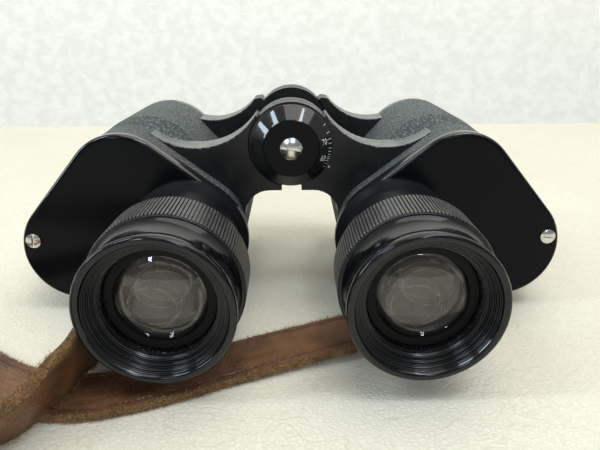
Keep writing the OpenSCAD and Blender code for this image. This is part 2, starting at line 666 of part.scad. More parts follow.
color([0.6, 0.55, 0.4]) prism_clips(false);  // right_prism_clips
color([0.7, 0.65, 0.45]) clip_screws(true);  // left_clip_screws
color([0.7, 0.65, 0.45]) clip_screws(false);  // right_clip_screws
color([0.1, 0.1, 0.1]) fixed_tube(true);  // left_fixed_tube
color([0.1, 0.1, 0.1]) fixed_tube(false);  // right_fixed_tube
color([0.15, 0.15, 0.15]) lens_tube(true);  // left_lens_tube
color([0.15, 0.15, 0.15]) lens_tube(false);  // right_lens_tube
color([0.7, 0.82, 0.88]) eye_lens(true);  // left_eye_lens
color([0.7, 0.82, 0.88]) eye_lens(false);  // right_eye_lens
color([0.08, 0.08, 0.08]) eye_lens_ring(true);  // left_eye_lens_ring
color([0.08, 0.08, 0.08]) eye_lens_ring(false);  // right_eye_lens_ring
color([0.7, 0.82, 0.88]) field_lens(true);  // left_field_lens
color([0.7, 0.82, 0.88]) field_lens(false);  // right_field_lens
color([0.12, 0.12, 0.12]) lens_spacer(true);  // left_lens_spacer
color([0.12, 0.12, 0.12]) lens_spacer(false);  // right_lens_spacer
color([0.12, 0.12, 0.12]) field_stop(true);  // left_field_stop
color([0.12, 0.12, 0.12]) field_stop(false);  // right_field_stop
color([0.14, 0.14, 0.14]) focus_ring(true);  // left_focus_ring
color([0.14, 0.14, 0.14]) focus_ring(false);  // right_focus_ring
color([0.04, 0.04, 0.04]) eyecup(true);  // left_eyecup
color([0.04, 0.04, 0.04]) eyecup(false);  // right_eyecup
color([0.1, 0.1, 0.1]) barrel(true);  // left_barrel
color([0.1, 0.1, 0.1]) barrel(false);  // right_barrel
color([0.09, 0.09, 0.09]) objective_cell(true);  // left_objective_cell
color([0.09, 0.09, 0.09]) objective_cell(false);  // right_objective_cell
color([0.7, 0.82, 0.88]) objective_crown(true);  // left_objective_crown
color([0.7, 0.82, 0.88]) objective_crown(false);  // right_objective_crown
color([0.68, 0.8, 0.86]) objective_flint(true);  // left_objective_flint
color([0.68, 0.8, 0.86]) objective_flint(false);  // right_objective_flint
color([0.08, 0.08, 0.08]) objective_ring(true);  // left_objective_ring
color([0.08, 0.08, 0.08]) objective_ring(false);  // right_objective_ring
color([0.6, 0.6, 0.6]) hinge_axle();
color([0.12, 0.12, 0.12]) hinge_tube();
color([0.7, 0.6, 0.35]) hinge_washers();
color([0.05, 0.05, 0.05]) scale_cap();
color([0.05, 0.05, 0.05]) front_cap();
color([0.75, 0.75, 0.73]) cap_screws();
color([0.3, 0.12, 0.06]) strap();
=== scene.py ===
"""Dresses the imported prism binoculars: smooth outer pieces, finishes, strap, table, light and camera."""

from __future__ import annotations

import json
import logging
import math
from dataclasses import dataclass, replace
from enum import Enum
from typing import Any, Callable, Iterable, Mapping, Sequence, Union

import bmesh
import bpy
import numpy as np
from mathutils import Matrix, Vector

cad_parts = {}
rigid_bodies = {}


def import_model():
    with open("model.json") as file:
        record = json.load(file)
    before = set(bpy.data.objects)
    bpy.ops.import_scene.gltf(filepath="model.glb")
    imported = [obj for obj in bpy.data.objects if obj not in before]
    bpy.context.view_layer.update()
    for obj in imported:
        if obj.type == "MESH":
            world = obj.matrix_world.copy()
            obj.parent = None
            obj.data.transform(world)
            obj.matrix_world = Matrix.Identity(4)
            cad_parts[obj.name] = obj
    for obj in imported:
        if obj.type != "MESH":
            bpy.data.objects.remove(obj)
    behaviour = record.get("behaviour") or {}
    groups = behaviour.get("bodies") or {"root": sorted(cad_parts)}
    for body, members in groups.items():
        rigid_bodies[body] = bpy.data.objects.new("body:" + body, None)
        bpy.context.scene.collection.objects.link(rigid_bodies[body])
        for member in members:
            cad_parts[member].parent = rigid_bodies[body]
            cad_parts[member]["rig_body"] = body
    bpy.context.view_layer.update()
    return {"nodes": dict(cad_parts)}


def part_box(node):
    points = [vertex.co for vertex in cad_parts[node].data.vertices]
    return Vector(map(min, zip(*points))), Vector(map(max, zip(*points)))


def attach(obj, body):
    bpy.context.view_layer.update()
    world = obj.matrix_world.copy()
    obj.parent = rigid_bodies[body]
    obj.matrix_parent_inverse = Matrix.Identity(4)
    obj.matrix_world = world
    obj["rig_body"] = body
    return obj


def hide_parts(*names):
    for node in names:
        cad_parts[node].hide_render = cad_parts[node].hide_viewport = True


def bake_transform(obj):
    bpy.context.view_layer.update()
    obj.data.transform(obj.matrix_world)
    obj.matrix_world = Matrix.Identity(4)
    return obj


LOG = logging.getLogger("binoculars")
MM = 0.001
TURN_STEPS = 144  # facets of a full turn on a lathe piece
TINY = 1e-9  # millimetres under which a side counts as none
BOX_FACES = ((0, 1, 3, 2), (4, 5, 7, 6), (0, 1, 5, 4), (2, 3, 7, 6), (0, 2, 6, 4), (1, 3, 7, 5))
STRAP_MASKS = ("edge", "crease", "under")  # shares of each on the strap's section

Colour = tuple[float, float, float, float]
Point2 = tuple[float, float]
Value = Union["Sock", float, int, bool, str, Sequence[float], bpy.types.ID]


# ---------------------------------------------------------------- nodes


def _operator(operation: str, swapped: bool = False) -> Callable[["Sock", Value], "Sock"]:
    """Makes an operator of Sock.

    Args:
        operation: The Math node's operation.
        swapped: Whether the other value comes first.

    Returns:
        The method.
    """

    def method(self: "Sock", other: Value) -> "Sock":
        """Adds the Math node."""
        return self.maker.math(operation, *((other, self) if swapped else (self, other)))

    return method


class Sock:
    """An output socket in an expression; its operators add Math nodes."""

    __add__ = _operator("ADD")
    __radd__ = _operator("ADD", swapped=True)
    __sub__ = _operator("SUBTRACT")
    __rsub__ = _operator("SUBTRACT", swapped=True)
    __mul__ = _operator("MULTIPLY")
    __rmul__ = _operator("MULTIPLY", swapped=True)
    __truediv__ = _operator("DIVIDE")
    __gt__ = _operator("GREATER_THAN")

    def __init__(self, maker: "NodeMaker", out: bpy.types.NodeSocket | None) -> None:
        """Keeps the maker and the socket."""
        self.maker = maker
        self.out = out

    def __abs__(self) -> "Sock":
        """Size without its sign."""
        return self.maker.math("ABSOLUTE", self)


class NodeMaker:
    """Adds nodes to one tree, for a material, the world or Geometry Nodes."""

    def __init__(self, tree: bpy.types.NodeTree) -> None:
        """Keeps the tree."""
        self.tree = tree

    def add(
        self,
        kind: str,
        settings: Mapping[str, Any] | None = None,
        inputs: Mapping[str | int, Value] | None = None,
        out: int | str = 0,
    ) -> Sock:
        """Adds one node.

        Args:
            kind: The node's type.
            settings: Its properties, set first.
            inputs: Values or sockets, by socket name or number.
            out: The output that is wanted.

        Returns:
            That output, ready for expressions.
        """
        node = self.tree.nodes.new(kind)
        for name, value in (settings or {}).items():
            setattr(node, name, value)
        for key, value in (inputs or {}).items():
            socket = node.inputs[key]
            if isinstance(value, Sock):
                self.tree.links.new(value.out, socket)
            else:
                socket.default_value = value
        return Sock(self, node.outputs[out] if len(node.outputs) else None)

    def math(self, operation: str, *values: Value) -> Sock:
        """Adds a Math node for the operation on the values."""
        return self.add("ShaderNodeMath", {"operation": operation}, dict(enumerate(values)))

    def ramp(self, value: Value, low: float, high: float, to: tuple[float, float] = (0.0, 1.0)) -> Sock:
        """Takes a value from low..high smoothly to another range.

        Args:
            value: What is mapped.
            low: Where the change starts.
            high: Where it ends.
            to: The values before and after.

        Returns:
            The mapped value.
        """
        return self.add(
            "ShaderNodeMapRange",
            {"interpolation_type": "SMOOTHSTEP"},
            {0: value, 1: low, 2: high, 3: to[0], 4: to[1]},
        )

    def blend(self, factor: Value, a: Value, b: Value) -> Sock:
        """Mixes two colours."""
        return self.add(
            "ShaderNodeMix",
            {"data_type": "RGBA", "clamp_factor": True},
            {0: factor, 6: a, 7: b},
            out=2,
        )

    def place(self) -> Sock:
        """Object coordinates, in metres in the shared frame."""
        return self.add("ShaderNodeTexCoord", out="Object")

    def moved(self, vector: Value, scale: Sequence[float]) -> Sock:
        """A Mapping node that scales a pattern."""
        return self.add("ShaderNodeMapping", inputs={0: vector, 3: scale})

    def bent(self, vector: Value, scale: float, detail: float, by: Sequence[float]) -> Sock:
        """Moves places about by a noise, so that a pattern on them looks grown.

        Args:
            vector: The places.
            scale: The noise's scale.
            detail: Its detail.
            by: How far it moves them each way, in metres.

        Returns:
            The moved places.
        """
        noise = {"Vector": vector, "Scale": scale, "Detail": detail}
        shift = self.add("ShaderNodeTexNoise", inputs=noise, out="Color")
        return self.add("ShaderNodeVectorMath", {"operation": "MULTIPLY_ADD"}, {0: shift, 1: by, 2: vector})

    def joint(self, x: Value = 0.0, y: Value = 0.0, z: Value = 0.0) -> Sock:
        """A vector of three values."""
        return self.add("ShaderNodeCombineXYZ", inputs={0: x, 1: y, 2: z})

    def away(self, x: Sock, z: Sock, axis: Point2) -> Sock:
        """Distance from an axis along Y."""
        out_x, out_z = x - axis[0], z - axis[1]
        return self.math("SQRT", out_x * out_x + out_z * out_z)

    def split(self, vector: Value) -> tuple[Sock, Sock, Sock]:
        """X, Y and Z of a vector."""
        x = self.add("ShaderNodeSeparateXYZ", inputs={0: vector})
        outputs = x.out.node.outputs
        return x, Sock(self, outputs[1]), Sock(self, outputs[2])

    def copies(self, spots: Value, piece: Value, turn: Value, size: Value = (1.0, 1.0, 1.0)) -> Sock:
        """Copies of a piece on points, in Geometry Nodes."""
        inputs = {"Points": spots, "Instance": piece, "Rotation": turn, "Scale": size}
        return self.add("GeometryNodeInstanceOnPoints", inputs=inputs)

    def noise(self, vector: Value, scale: float, detail: float = 3.0, rough: float = 0.55) -> Sock:
        """Smooth noise round 0.5 with features about 1/scale metres wide."""
        return self.add(
            "ShaderNodeTexNoise",
            inputs={"Vector": vector, "Scale": scale, "Detail": detail, "Roughness": rough},
        )

    def cells(self, vector: Value, scale: float, feature: str = "F1") -> Sock:
        """Distance in a Voronoi pattern."""
        return self.add(
            "ShaderNodeTexVoronoi",
            {"feature": feature},
            {"Vector": vector, "Scale": scale},
            out="Distance",
        )

    def bump(self, height: Value, depth: float, strength: float) -> Sock:
        """A Bump node.

        Args:
            height: The height pattern, about 0 to 1.
            depth: Its depth in metres.
            strength: Share of it that shows.

        Returns:
            The bent normal.
        """
        return self.add(
            "ShaderNodeBump", inputs={"Height": height, "Distance": depth, "Strength": strength})


# ---------------------------------------------------------------- finishes


def scaled(colour: Colour, by: float, more: float = 0.0) -> Colour:
    """A colour made lighter or darker."""
    red, green, blue = (c * by + more for c in colour[:3])
    return (red, green, blue, 1.0)


@dataclass(frozen=True)
class Finish:
    """A finish: a Principled surface whose sockets a subclass feeds."""

    name: str
    metallic: float = 0.0
    roughness: float = 0.5
    ior: float = 1.5
    specular: float = 0.5
    transmission: float = 0.0

    def sockets(self, n: NodeMaker) -> dict[str, Value]:
        """What feeds the surface's sockets.

        Args:
            n: Adds the finish's nodes.

        Returns:
            Values and links by socket name.
        """
        return {}

    def make(self) -> bpy.types.Material:
        """Builds the material.

        Returns:
            The finished material.
        """
        name = self.name + "_finish"
        found = bpy.data.materials.get(name)
        if found is not None:
            return found
        material = bpy.data.materials.new(name)
        material.use_nodes = True
        tree = material.node_tree
        tree.nodes.clear()
        n = NodeMaker(tree)
        inputs: dict[str | int, Value] = {
            "Metallic": self.metallic,
            "Roughness": self.roughness,
            "IOR": self.ior,
            "Specular IOR Level": self.specular,
            "Transmission Weight": self.transmission,
            **self.sockets(n),
        }
        surface = n.add("ShaderNodeBsdfPrincipled", inputs=inputs)
        n.add("ShaderNodeOutputMaterial", inputs={"Surface": surface})
        return material


@dataclass(frozen=True)
class BlackEnamel(Finish):
    """Brushed-on black enamel over an aluminium casting, rubbed to metal where hands reach it; that metal's
    light grey on the arms' scoops is real wear and also a painted reflection of the bright wall at grazing
    angle.
    """

    paint: Colour = (0.0060, 0.0064, 0.0070, 1.0)
    # Light grey of the bare metal on the scoops: real wear, also painted reflection of the wall.
    metal: Colour = (0.30, 0.315, 0.292, 1.0)
    scoops: tuple[tuple[float, float, float, float, float], ...] = ()
    tear: float = 0.0017  # raggedness of the wear's edge
    drift: float = 0.0005  # its slow wander
    edge: Point2 = (0.00022, 0.0001)  # distances past the scoop between which it starts
    fade: float = 0.0004  # run-out at the arm's ends

    def sockets(self, n: NodeMaker) -> dict[str, Value]:
        """Paint, and bare metal on the scooped edges of the arms, its light grey both real wear and painted
        reflection.
        """
        place = n.place()
        x, y, z = n.split(place)
        cloud = n.noise(place, 260, 4, 0.6)
        ragged = n.noise(place, 1250, 3, 0.65)
        grit = n.noise(place, 4200, 2, 0.6)
        wear: Value = 0.0
        for cx, cz, radius, front, back in self.scoops:
            torn = (ragged - 0.5) * self.tear + (cloud - 0.5) * self.drift
            on_scoop = n.ramp(n.away(x, z, (cx, cz)) - radius + torn, *self.edge)
            half = (back - front) / 2
            in_arm = n.ramp(abs(y - (front + back) / 2), half + self.fade, half)
            wear = n.math("MAXIMUM", wear, on_scoop * in_arm)
        speck = n.ramp(n.cells(place, 520), 0.07, 0.03) * n.ramp(n.noise(place, 210, 2), 0.5, 0.6)
        paint = n.blend(n.ramp(cloud, 0.35, 0.7), self.paint, scaled(self.paint, 1.6))
        paint = n.blend(speck * 0.6, paint, (0.12, 0.12, 0.115, 1.0))
        metal = n.blend(n.ramp(grit, 0.35, 0.7), scaled(self.metal, 0.66), self.metal)
        metal = n.blend(n.ramp(ragged, 0.62, 0.7) * 0.5, metal, (0.10, 0.10, 0.095, 1.0))
        return {
            "Base Color": n.blend(wear, paint, metal),
            "Roughness": n.ramp(cloud, 0.3, 0.75, (self.roughness, self.roughness + 0.12)) + wear * 0.18,
            "Metallic": wear * 0.25,
            "Normal": n.bump(grit * 0.5 * wear + cloud, 0.00006, 0.6),
        }


@dataclass(frozen=True)
class Leatherette(Finish):
    """Fine pebbled covering, black lifted to grey-black as painted sheen, polished on its high points, which
    are painted lighter as painted highlights.
    """

    # The covering's own black, lifted to grey-black as painted sheen.
    colour: Colour = (0.080, 0.089, 0.0855, 1.0)
    pebble: float = 1350.0

    def sockets(self, n: NodeMaker) -> dict[str, Value]:
        """Pebbles with dark valleys as painted shade and lighter tops as painted highlights, and broad
        patches of handling in the roughness, which also vary the painted highlights.
        """
        place = n.place()
        bent = n.bent(place, 900.0, 2.0, (0.0007, 0.0007, 0.0007))
        pebbles = n.cells(bent, self.pebble)
        valleys = n.cells(bent, self.pebble * 0.62, "DISTANCE_TO_EDGE")
        height = n.ramp(pebbles, 0.75, 0.1) * 0.6 + n.ramp(valleys, 0.0, 0.22) * 0.6
        broad = n.noise(place, 75, 3)
        # Painted highlight: the pebbles' high points are painted lighter in broad patches; the valleys keep
        # the darker colour as painted shade.
        high = scaled(self.colour, 2.5)
        worn = n.ramp(height, 0.4, 1.05) * n.ramp(broad, 0.3, 0.65, (0.45, 1.0))
        return {
            "Base Color": n.blend(worn, self.colour, high),
            "Roughness": n.ramp(height, 0.2, 1.1, (0.70, 0.50)) + (broad - 0.5) * 0.2,
            "Normal": n.bump(height, 0.00016, 0.9),
        }


@dataclass(frozen=True)
class GlossBlack(Finish):
    """Stoved black gloss on stamped sheet and turned caps, with dust and faint rubbing."""

    colour: Colour = (0.0042, 0.0047, 0.0058, 1.0)
    dust: float = 0.7
    flat: float = -1.0  # Y of a flat face without the coat, in metres; -1 for none

    def sockets(self, n: NodeMaker) -> dict[str, Value]:
        """Nearly black, with slow changes of gloss and rare dust specks."""
        place = n.place()
        _, y, _ = n.split(place)
        slow = n.noise(place, 55, 4, 0.6)
        fine = n.noise(place, 700, 3)
        speck = n.ramp(n.cells(place, 420), 0.075, 0.03) * n.ramp(n.noise(place, 160, 2), 0.52, 0.62)
        grey = scaled(self.colour, 7, 0.01)
        return {
            "Base Color": n.blend(speck * self.dust, self.colour, grey),
            "Roughness": n.ramp(slow, 0.3, 0.72, (self.roughness - 0.04, self.roughness + 0.08))
            + speck * 0.25 + (fine - 0.5) * 0.03,
            "Coat Weight": n.ramp(y, self.flat + 0.00012, self.flat + 0.0004) if self.flat > -1.0 else 0.0,
            "Normal": n.bump(slow * 2 + fine * 0.12, 0.00006, 0.5),
        }


@dataclass(frozen=True)
class RibbedMetal(Finish):
    """Dark anodised ring whose rib tops have been rubbed lighter."""

    axis: Point2 = (0.0, 0.0)
    radius: float = 0.0184
    worn: Point2 = (0.0003, 0.00006)  # depths under the rib tops between which wear starts
    colour: Colour = (0.0055, 0.0056, 0.006, 1.0)

    def sockets(self, n: NodeMaker) -> dict[str, Value]:
        """Wear grows with the distance from the axis."""
        place = n.place()
        x, _, z = n.split(place)
        away = n.away(x, z, self.axis)
        cloud = n.noise(place, 220, 4, 0.65)
        fine = n.noise(place, 3000, 2)
        top = n.ramp(away, *(self.radius - depth for depth in self.worn))
        wear = top * n.ramp(cloud + (fine - 0.5) * 0.4, 0.3, 0.62, (0.35, 1.0))
        return {
            "Base Color": n.blend(wear, self.colour, (0.115, 0.113, 0.105, 1.0)),
            "Roughness": 0.34 + wear * 0.08 + (cloud - 0.5) * 0.16,
            "Metallic": wear * 0.5,
            "Normal": n.bump(fine, 0.00003, 0.5),
        }


@dataclass(frozen=True)
class Bakelite(Finish):
    """Moulded black bakelite, deep gloss with hair scratches, dust in its corners, and the funnel's groove
    lines painted lighter as painted highlights.
    """

    axis: Point2 = (0.0, 0.0)
    face: float = 0.0
    colour: Colour = (0.0036, 0.0042, 0.0052, 1.0)
    pitch: float = 0.00034  # of the funnel's grooves
    funnel_r: float = 0.0140
    funnel_run: Point2 = (0.0014, 0.0011)  # how far the grooves reach from it, and where they fade
    line_depth: Point2 = (0.0052, 0.0046)  # depths under the rim between which they start
    dust_r: Point2 = (0.0162, 0.0152)  # radii between which the dust starts
    dust_depth: Point2 = (0.003, 0.0062)  # and the depths

    def sockets(self, n: NodeMaker) -> dict[str, Value]:
        """Scratches run round the axis; dust gathers deep in the funnel; thin lines at the groove pitch are
        painted lighter as painted highlights.
        """
        place = n.place()
        x, y, z = n.split(place)
        out_x, out_z = x - self.axis[0], z - self.axis[1]
        away = n.away(x, z, self.axis)
        turn = n.math("ARCTAN2", out_z, out_x)
        around = n.joint(away * 5000, y * 5000, turn * 1.2)
        hair = n.ramp(n.noise(around, 0.9, 3, 0.7), 0.6, 0.78)
        slow = n.noise(place, 90, 4, 0.6)
        depth = y - self.face
        inside = n.ramp(away, *self.dust_r) * n.ramp(depth, *self.dust_depth)
        # Painted highlights: thin blue-grey lines at the funnel's groove pitch, near the funnel and below the
        # rim, stand in for the light the grooves catch.
        wave = n.math("SINE", away * (2 * math.pi / self.pitch))
        flare = n.ramp(abs(away - self.funnel_r), *self.funnel_run)
        lines = n.ramp(wave + (slow - 0.5) * 1.2, 0.2, 0.9) * flare * n.ramp(depth, *self.line_depth)
        lint = inside * n.ramp(n.noise(place, 1500, 4, 0.75), 0.56, 0.68)
        groove_highlighted = n.blend(lines * 0.8, self.colour, (0.026, 0.028, 0.029, 1.0))
        return {
            "Base Color": n.blend(lint * 0.6, groove_highlighted, (0.075, 0.066, 0.055, 1.0)),
            "Roughness": self.roughness + hair * 0.12 + (slow - 0.5) * 0.14 + lint * 0.4 + lines * 0.1,
            "Normal": n.bump(slow + hair * 0.12 + lines * 0.5, 0.00005, 0.45),
        }


@dataclass(frozen=True)
class DarkTube(Finish):
    """Satin black metal: fixed tubes, barrels, lens mounts."""

    colour: Colour = (0.011, 0.011, 0.0115, 1.0)

    def sockets(self, n: NodeMaker) -> dict[str, Value]:
        """Fine turning marks along the axis and slow changes of sheen."""
        place = n.place()
        _, y, _ = n.split(place)
        slow = n.noise(place, 130, 4, 0.6)
        rings = n.noise(n.joint(y=y), 6000, 2)
        return {
            "Base Color": n.blend(slow, self.colour, scaled(self.colour, 1.9)),
            "Roughness": self.roughness + (slow - 0.5) * 0.2 + (rings - 0.5) * 0.08,
            "Normal": n.bump(rings * 0.5 + slow, 0.00003, 0.5),
        }


@dataclass(frozen=True)
class BareMetal(Finish):
    """Plated or plain metal with fine scratches and slight tarnish."""

    colour: Colour = (0.72, 0.71, 0.69, 1.0)
    tarnish: Colour = (0.25, 0.22, 0.18, 1.0)
    amount: float = 0.5

    def sockets(self, n: NodeMaker) -> dict[str, Value]:
        """Tarnish in patches, scratches in the gloss."""
        place = n.place()
        cloud = n.noise(place, 900, 4, 0.65)
        line = n.noise(n.moved(place, (1, 1, 9)), 900, 3, 0.6)
        spot = n.ramp(cloud, 0.5, 0.72) * self.amount
        return {
            "Base Color": n.blend(spot, self.colour, self.tarnish),
            "Roughness": self.roughness + spot * 0.3 + (line - 0.5) * 0.2,
            "Normal": n.bump(line, 0.00002, 0.5),
        }


@dataclass(frozen=True)
class LensGlass(Finish):
    """Clear optical glass, slightly hazed; on the eye lens a glowing pattern of soft discs is painted into
    its emission, as painted reflections of the lenses behind it and painted light for the view through it.
    """

    tint: Colour = (0.80, 0.79, 0.75, 1.0)
    axis: Point2 | None = None
    # pale, mid and dark: colours of the glow painted into the eye lens, painted light and painted reflections
    pale: Colour = (0.088, 0.085, 0.070, 1.0)
    mid: Colour = (0.030, 0.028, 0.022, 1.0)
    dark: Colour = (0.008, 0.005, 0.003, 1.0)

    def sockets(self, n: NodeMaker) -> dict[str, Value]:
        """Almost clear; dust roughens it. On the eye lens, overlapping soft discs with thin bright edges glow
        in its emission: painted reflections with painted highlights on their edges.
        """
        place = n.place()
        dust = n.ramp(n.noise(place, 420, 4, 0.7), 0.58, 0.72)
        clear: dict[str, Value] = {"Base Color": self.tint, "Roughness": 0.02 + dust * 0.05}
        if self.axis is None:
            return clear
        x, _, z = n.split(place)
        u, v = x - self.axis[0], z - self.axis[1]
        cloud = n.noise(place, 210, 4)
        streak = n.noise(n.moved(place, (1.0, 1.0, 3.0)), 330, 3, 0.6)

        def disc(at: Point2, size: Point2) -> Sock:
            """Distance from a disc's middle, 1 on its edge."""
            across, up = (u - at[0] * MM) / (size[0] * MM), (v - at[1] * MM) / (size[1] * MM)
            return n.math("SQRT", across * across + up * up)

        # Painted reflections of the lenses behind: two discs glow pale, one patch is painted dark, their
        # edges and an arc near the rim get thin painted highlights; outside the rim there is no glow.
        rim = disc((0.3, 0.4), (9.3, 9.2))
        low = disc((-1.6, -1.4), (5.6, 5.2))
        high = disc((0.7, 3.2), (5.8, 4.2))
        brown = disc((3.4, -1.6), (4.2, 3.2))
        colour = n.blend(n.ramp(cloud, 0.3, 0.7) * 0.6, self.mid, self.dark)
        colour = n.blend(n.ramp(high, 1.0, 0.93) * n.ramp(cloud, 0.2, 0.8, (0.6, 0.3)), colour, self.pale)
        colour = n.blend(n.ramp(low, 1.0, 0.95) * 0.35, colour, self.pale)
        colour = n.blend(n.ramp(brown, 1.1, 0.3) * 0.8, colour, self.dark)
        edges = n.math("MAXIMUM", n.ramp(abs(high - 0.97), 0.05, 0.0), n.ramp(abs(low - 0.98), 0.05, 0.0))
        colour = n.blend(edges * n.ramp(streak, 0.35, 0.6) * 0.6, colour, (0.30, 0.29, 0.25, 1.0))
        painted_arc_highlight = n.ramp(abs(rim - 0.93), 0.06, 0.0) * n.ramp(cloud, 0.42, 0.6)
        colour = n.blend(painted_arc_highlight * 0.6, colour, (0.30, 0.30, 0.265, 1.0))
        colour = n.blend(n.ramp(rim, 0.97, 1.02), colour, (0.0, 0.0, 0.0, 1.0))
        # The eye lens glows though it is no lamp: the whole pattern is painted light.
        return {**clear, "Emission Color": colour, "Emission Strength": 0.36}


@dataclass(frozen=True)
class StrapLeather(Finish):
    """Red-brown bridle leather with a worn sheen, creased lines and raw suede edges."""

    face: Colour = (0.205, 0.088, 0.032, 1.0)
    deep: Colour = (0.085, 0.033, 0.012, 1.0)
    tan: Colour = (0.30, 0.155, 0.066, 1.0)
    suede: Colour = (0.36, 0.205, 0.082, 1.0)

    def sockets(self, n: NodeMaker) -> dict[str, Value]:
        """Grain, cracks, crease lines, and tan fibres at the cut edges."""
        across, along, _ = n.split(n.add("ShaderNodeUVMap", {"uv_map": "strap"}))
        place = n.place()
        edge, crease, under = (
            n.add("ShaderNodeAttribute", {"attribute_name": name}, out="Fac") for name in STRAP_MASKS)
        grain = n.cells(place, 2100)
        broad = n.noise(place, 85, 4, 0.6)
        streak = n.noise(n.joint(across * 900, along * 55), 1.0, 4, 0.65)
        crack = n.ramp(n.noise(n.joint(across * 700, along * 1900), 1.0, 4, 0.7), 0.58, 0.72)
        fluff = n.noise(place, 1700, 4, 0.75)
        cut = n.ramp(edge + (fluff - 0.5) * 0.9 + (broad - 0.5) * 0.5, 0.42, 0.70)
        skin = n.blend(n.ramp(broad * 0.8 + streak * 0.2, 0.34, 0.60), self.deep, self.face)
        skin = n.blend(n.ramp(broad * 0.6 + streak * 0.4, 0.5, 0.68) * 0.6, skin, self.tan)
        skin = n.blend(n.ramp(crease + (fluff - 0.5) * 0.4, 0.25, 0.75) * 0.85, skin, self.deep)
        skin = n.blend(crack * 0.45, skin, self.deep)
        raw = n.blend(n.ramp(fluff, 0.38, 0.64), scaled(self.suede, 0.36), self.suede)
        margin = n.ramp(abs(across) + (fluff - 0.5) * 0.004 + (broad - 0.5) * 0.003, 0.0050, 0.0060)
        rough_side = n.math("MAXIMUM", cut, under * margin)
        height = n.ramp(grain, 0.7, 0.1) * 0.9 + streak * 0.3
        height = height + fluff * rough_side * 2.4 - crack * 0.4 - crease * 0.8
        return {
            "Base Color": n.blend(rough_side, skin, raw),
            "Roughness": n.ramp(broad, 0.3, 0.7, (0.32, 0.46)) + rough_side * 0.4 + crack * 0.1,
            "Normal": n.bump(height, 0.00028, 0.9),
        }


@dataclass(frozen=True)
class Fibre(Finish):
    """Loose tan fibres of the strap's raw edge."""

    colour: Colour = (0.46, 0.27, 0.13, 1.0)

    def sockets(self, n: NodeMaker) -> dict[str, Value]:
        """Colour changes from tuft to tuft."""
        tuft = n.noise(n.place(), 600, 2)
        dark = scaled(self.colour, 0.45)
        return {"Base Color": n.blend(n.ramp(tuft, 0.35, 0.65), dark, self.colour), "Roughness": 0.85}


@dataclass(frozen=True)
class ScalePaint(Finish):
    """Dull white filler in the engraved scale."""

    colour: Colour = (0.85, 0.86, 0.82, 1.0)

    def sockets(self, n: NodeMaker) -> dict[str, Value]:
        """White, part rubbed out."""
        lost = n.ramp(n.noise(n.place(), 1600, 4, 0.7), 0.50, 0.68)
        colour = n.blend(lost, self.colour, (0.12, 0.12, 0.115, 1.0))
        return {"Base Color": colour, "Roughness": 0.6 + lost * 0.1}


@dataclass(frozen=True)
class TableTop(Finish):
    """Cream leather-like table covering."""

    colour: Colour = (0.88, 0.82, 0.66, 1.0)

    def sockets(self, n: NodeMaker) -> dict[str, Value]:
        """Soft mottling and a fine creased grain."""
        place = n.place()
        slow = n.noise(place, 9, 4, 0.6)
        bent = n.bent(place, 260.0, 3.0, (0.0018, 0.0018, 0.0))
        grain = n.ramp(n.cells(bent, 780, "DISTANCE_TO_EDGE"), 0.0, 0.24)
        dimple = n.noise(place, 480, 4, 0.65)
        fold = n.ramp(abs(n.noise(n.moved(bent, (1, 1.7, 1)), 38, 3, 0.6) - 0.5), 0.012, 0.0)
        valley = (1.0 - grain) * 0.5 + n.ramp(dimple, 0.55, 0.38) * 0.3 + fold * 0.4
        tone = n.blend(n.ramp(slow, 0.35, 0.65), self.colour, (0.91, 0.86, 0.71, 1.0))
        return {
            "Base Color": n.blend(valley * 0.45, tone, (0.70, 0.64, 0.48, 1.0)),
            "Roughness": 0.5 + (slow - 0.5) * 0.2,
            "Normal": n.bump(grain * 0.7 + dimple * 0.9 + slow * 2 - fold * 0.7, 0.0003, 0.42),
        }


@dataclass(frozen=True)
class WallPaper(Finish):
    """Off-white wall paper with a soft plaster-like emboss; eye and gloss see it nearly white."""

    colour: Colour = (0.90, 0.90, 0.81, 1.0)
    glow: float = 0.43

    def sockets(self, n: NodeMaker) -> dict[str, Value]:
        """Embossed blotches with slightly darker hollows."""
        place = n.place()
        blot = n.noise(place, 62, 4, 0.62)
        fine = n.noise(place, 210, 3)
        hollow = n.ramp(blot + (fine - 0.5) * 0.35, 0.60, 0.42)
        colour = n.blend(hollow * 0.75, self.colour, (0.80, 0.80, 0.715, 1.0))
        camera, glossy, passing = (
            n.add("ShaderNodeLightPath", out=f"Is {ray} Ray") for ray in ("Camera", "Glossy", "Transmission"))
        seen = n.math("MAXIMUM", n.math("MAXIMUM", camera, glossy), passing)
        return {
            "Base Color": colour,
            "Roughness": 0.8 + hollow * 0.1,
            "Normal": n.bump(blot + fine * 0.3, 0.0022, 0.5),
            "Emission Color": n.blend(seen, (0.0, 0.0, 0.0, 1.0), colour),
            "Emission Strength": self.glow,
        }


BLACK_TUBE = DarkTube("black_tube", roughness=0.4)
CHROME = BareMetal("chromed_screws", 1.0, 0.2, amount=0.45)
BRASS = BareMetal("brass", 1.0, 0.35, colour=(0.62, 0.47, 0.22, 1.0))
SCALE_WHITE = ScalePaint("scale_white")


# ---------------------------------------------------------------- mesh tools


def smooth_curve(points: Sequence[Sequence[float]], steps: int) -> np.ndarray:
    """Runs a smooth line through points, as the strap's route in the construction does.

    Args:
        points: Rows of numbers, any count of columns.
        steps: Steps between two points.

    Returns:
        The denser rows.
    """
    p = np.array(points, float)
    last = len(p) - 1
    rows = []
    for i in range(last):
        a, b, c, d = p[max(i - 1, 0)], p[i], p[i + 1], p[min(i + 2, last)]
        square, cube = 2 * a - 5 * b + 4 * c - d, 3 * b - a - 3 * c + d
        for k in range(steps):
            t = k / steps
            rows.append(0.5 * (2 * b + (c - a) * t + square * t * t + cube * t**3))
    rows.append(p[last])
    return np.array(rows)


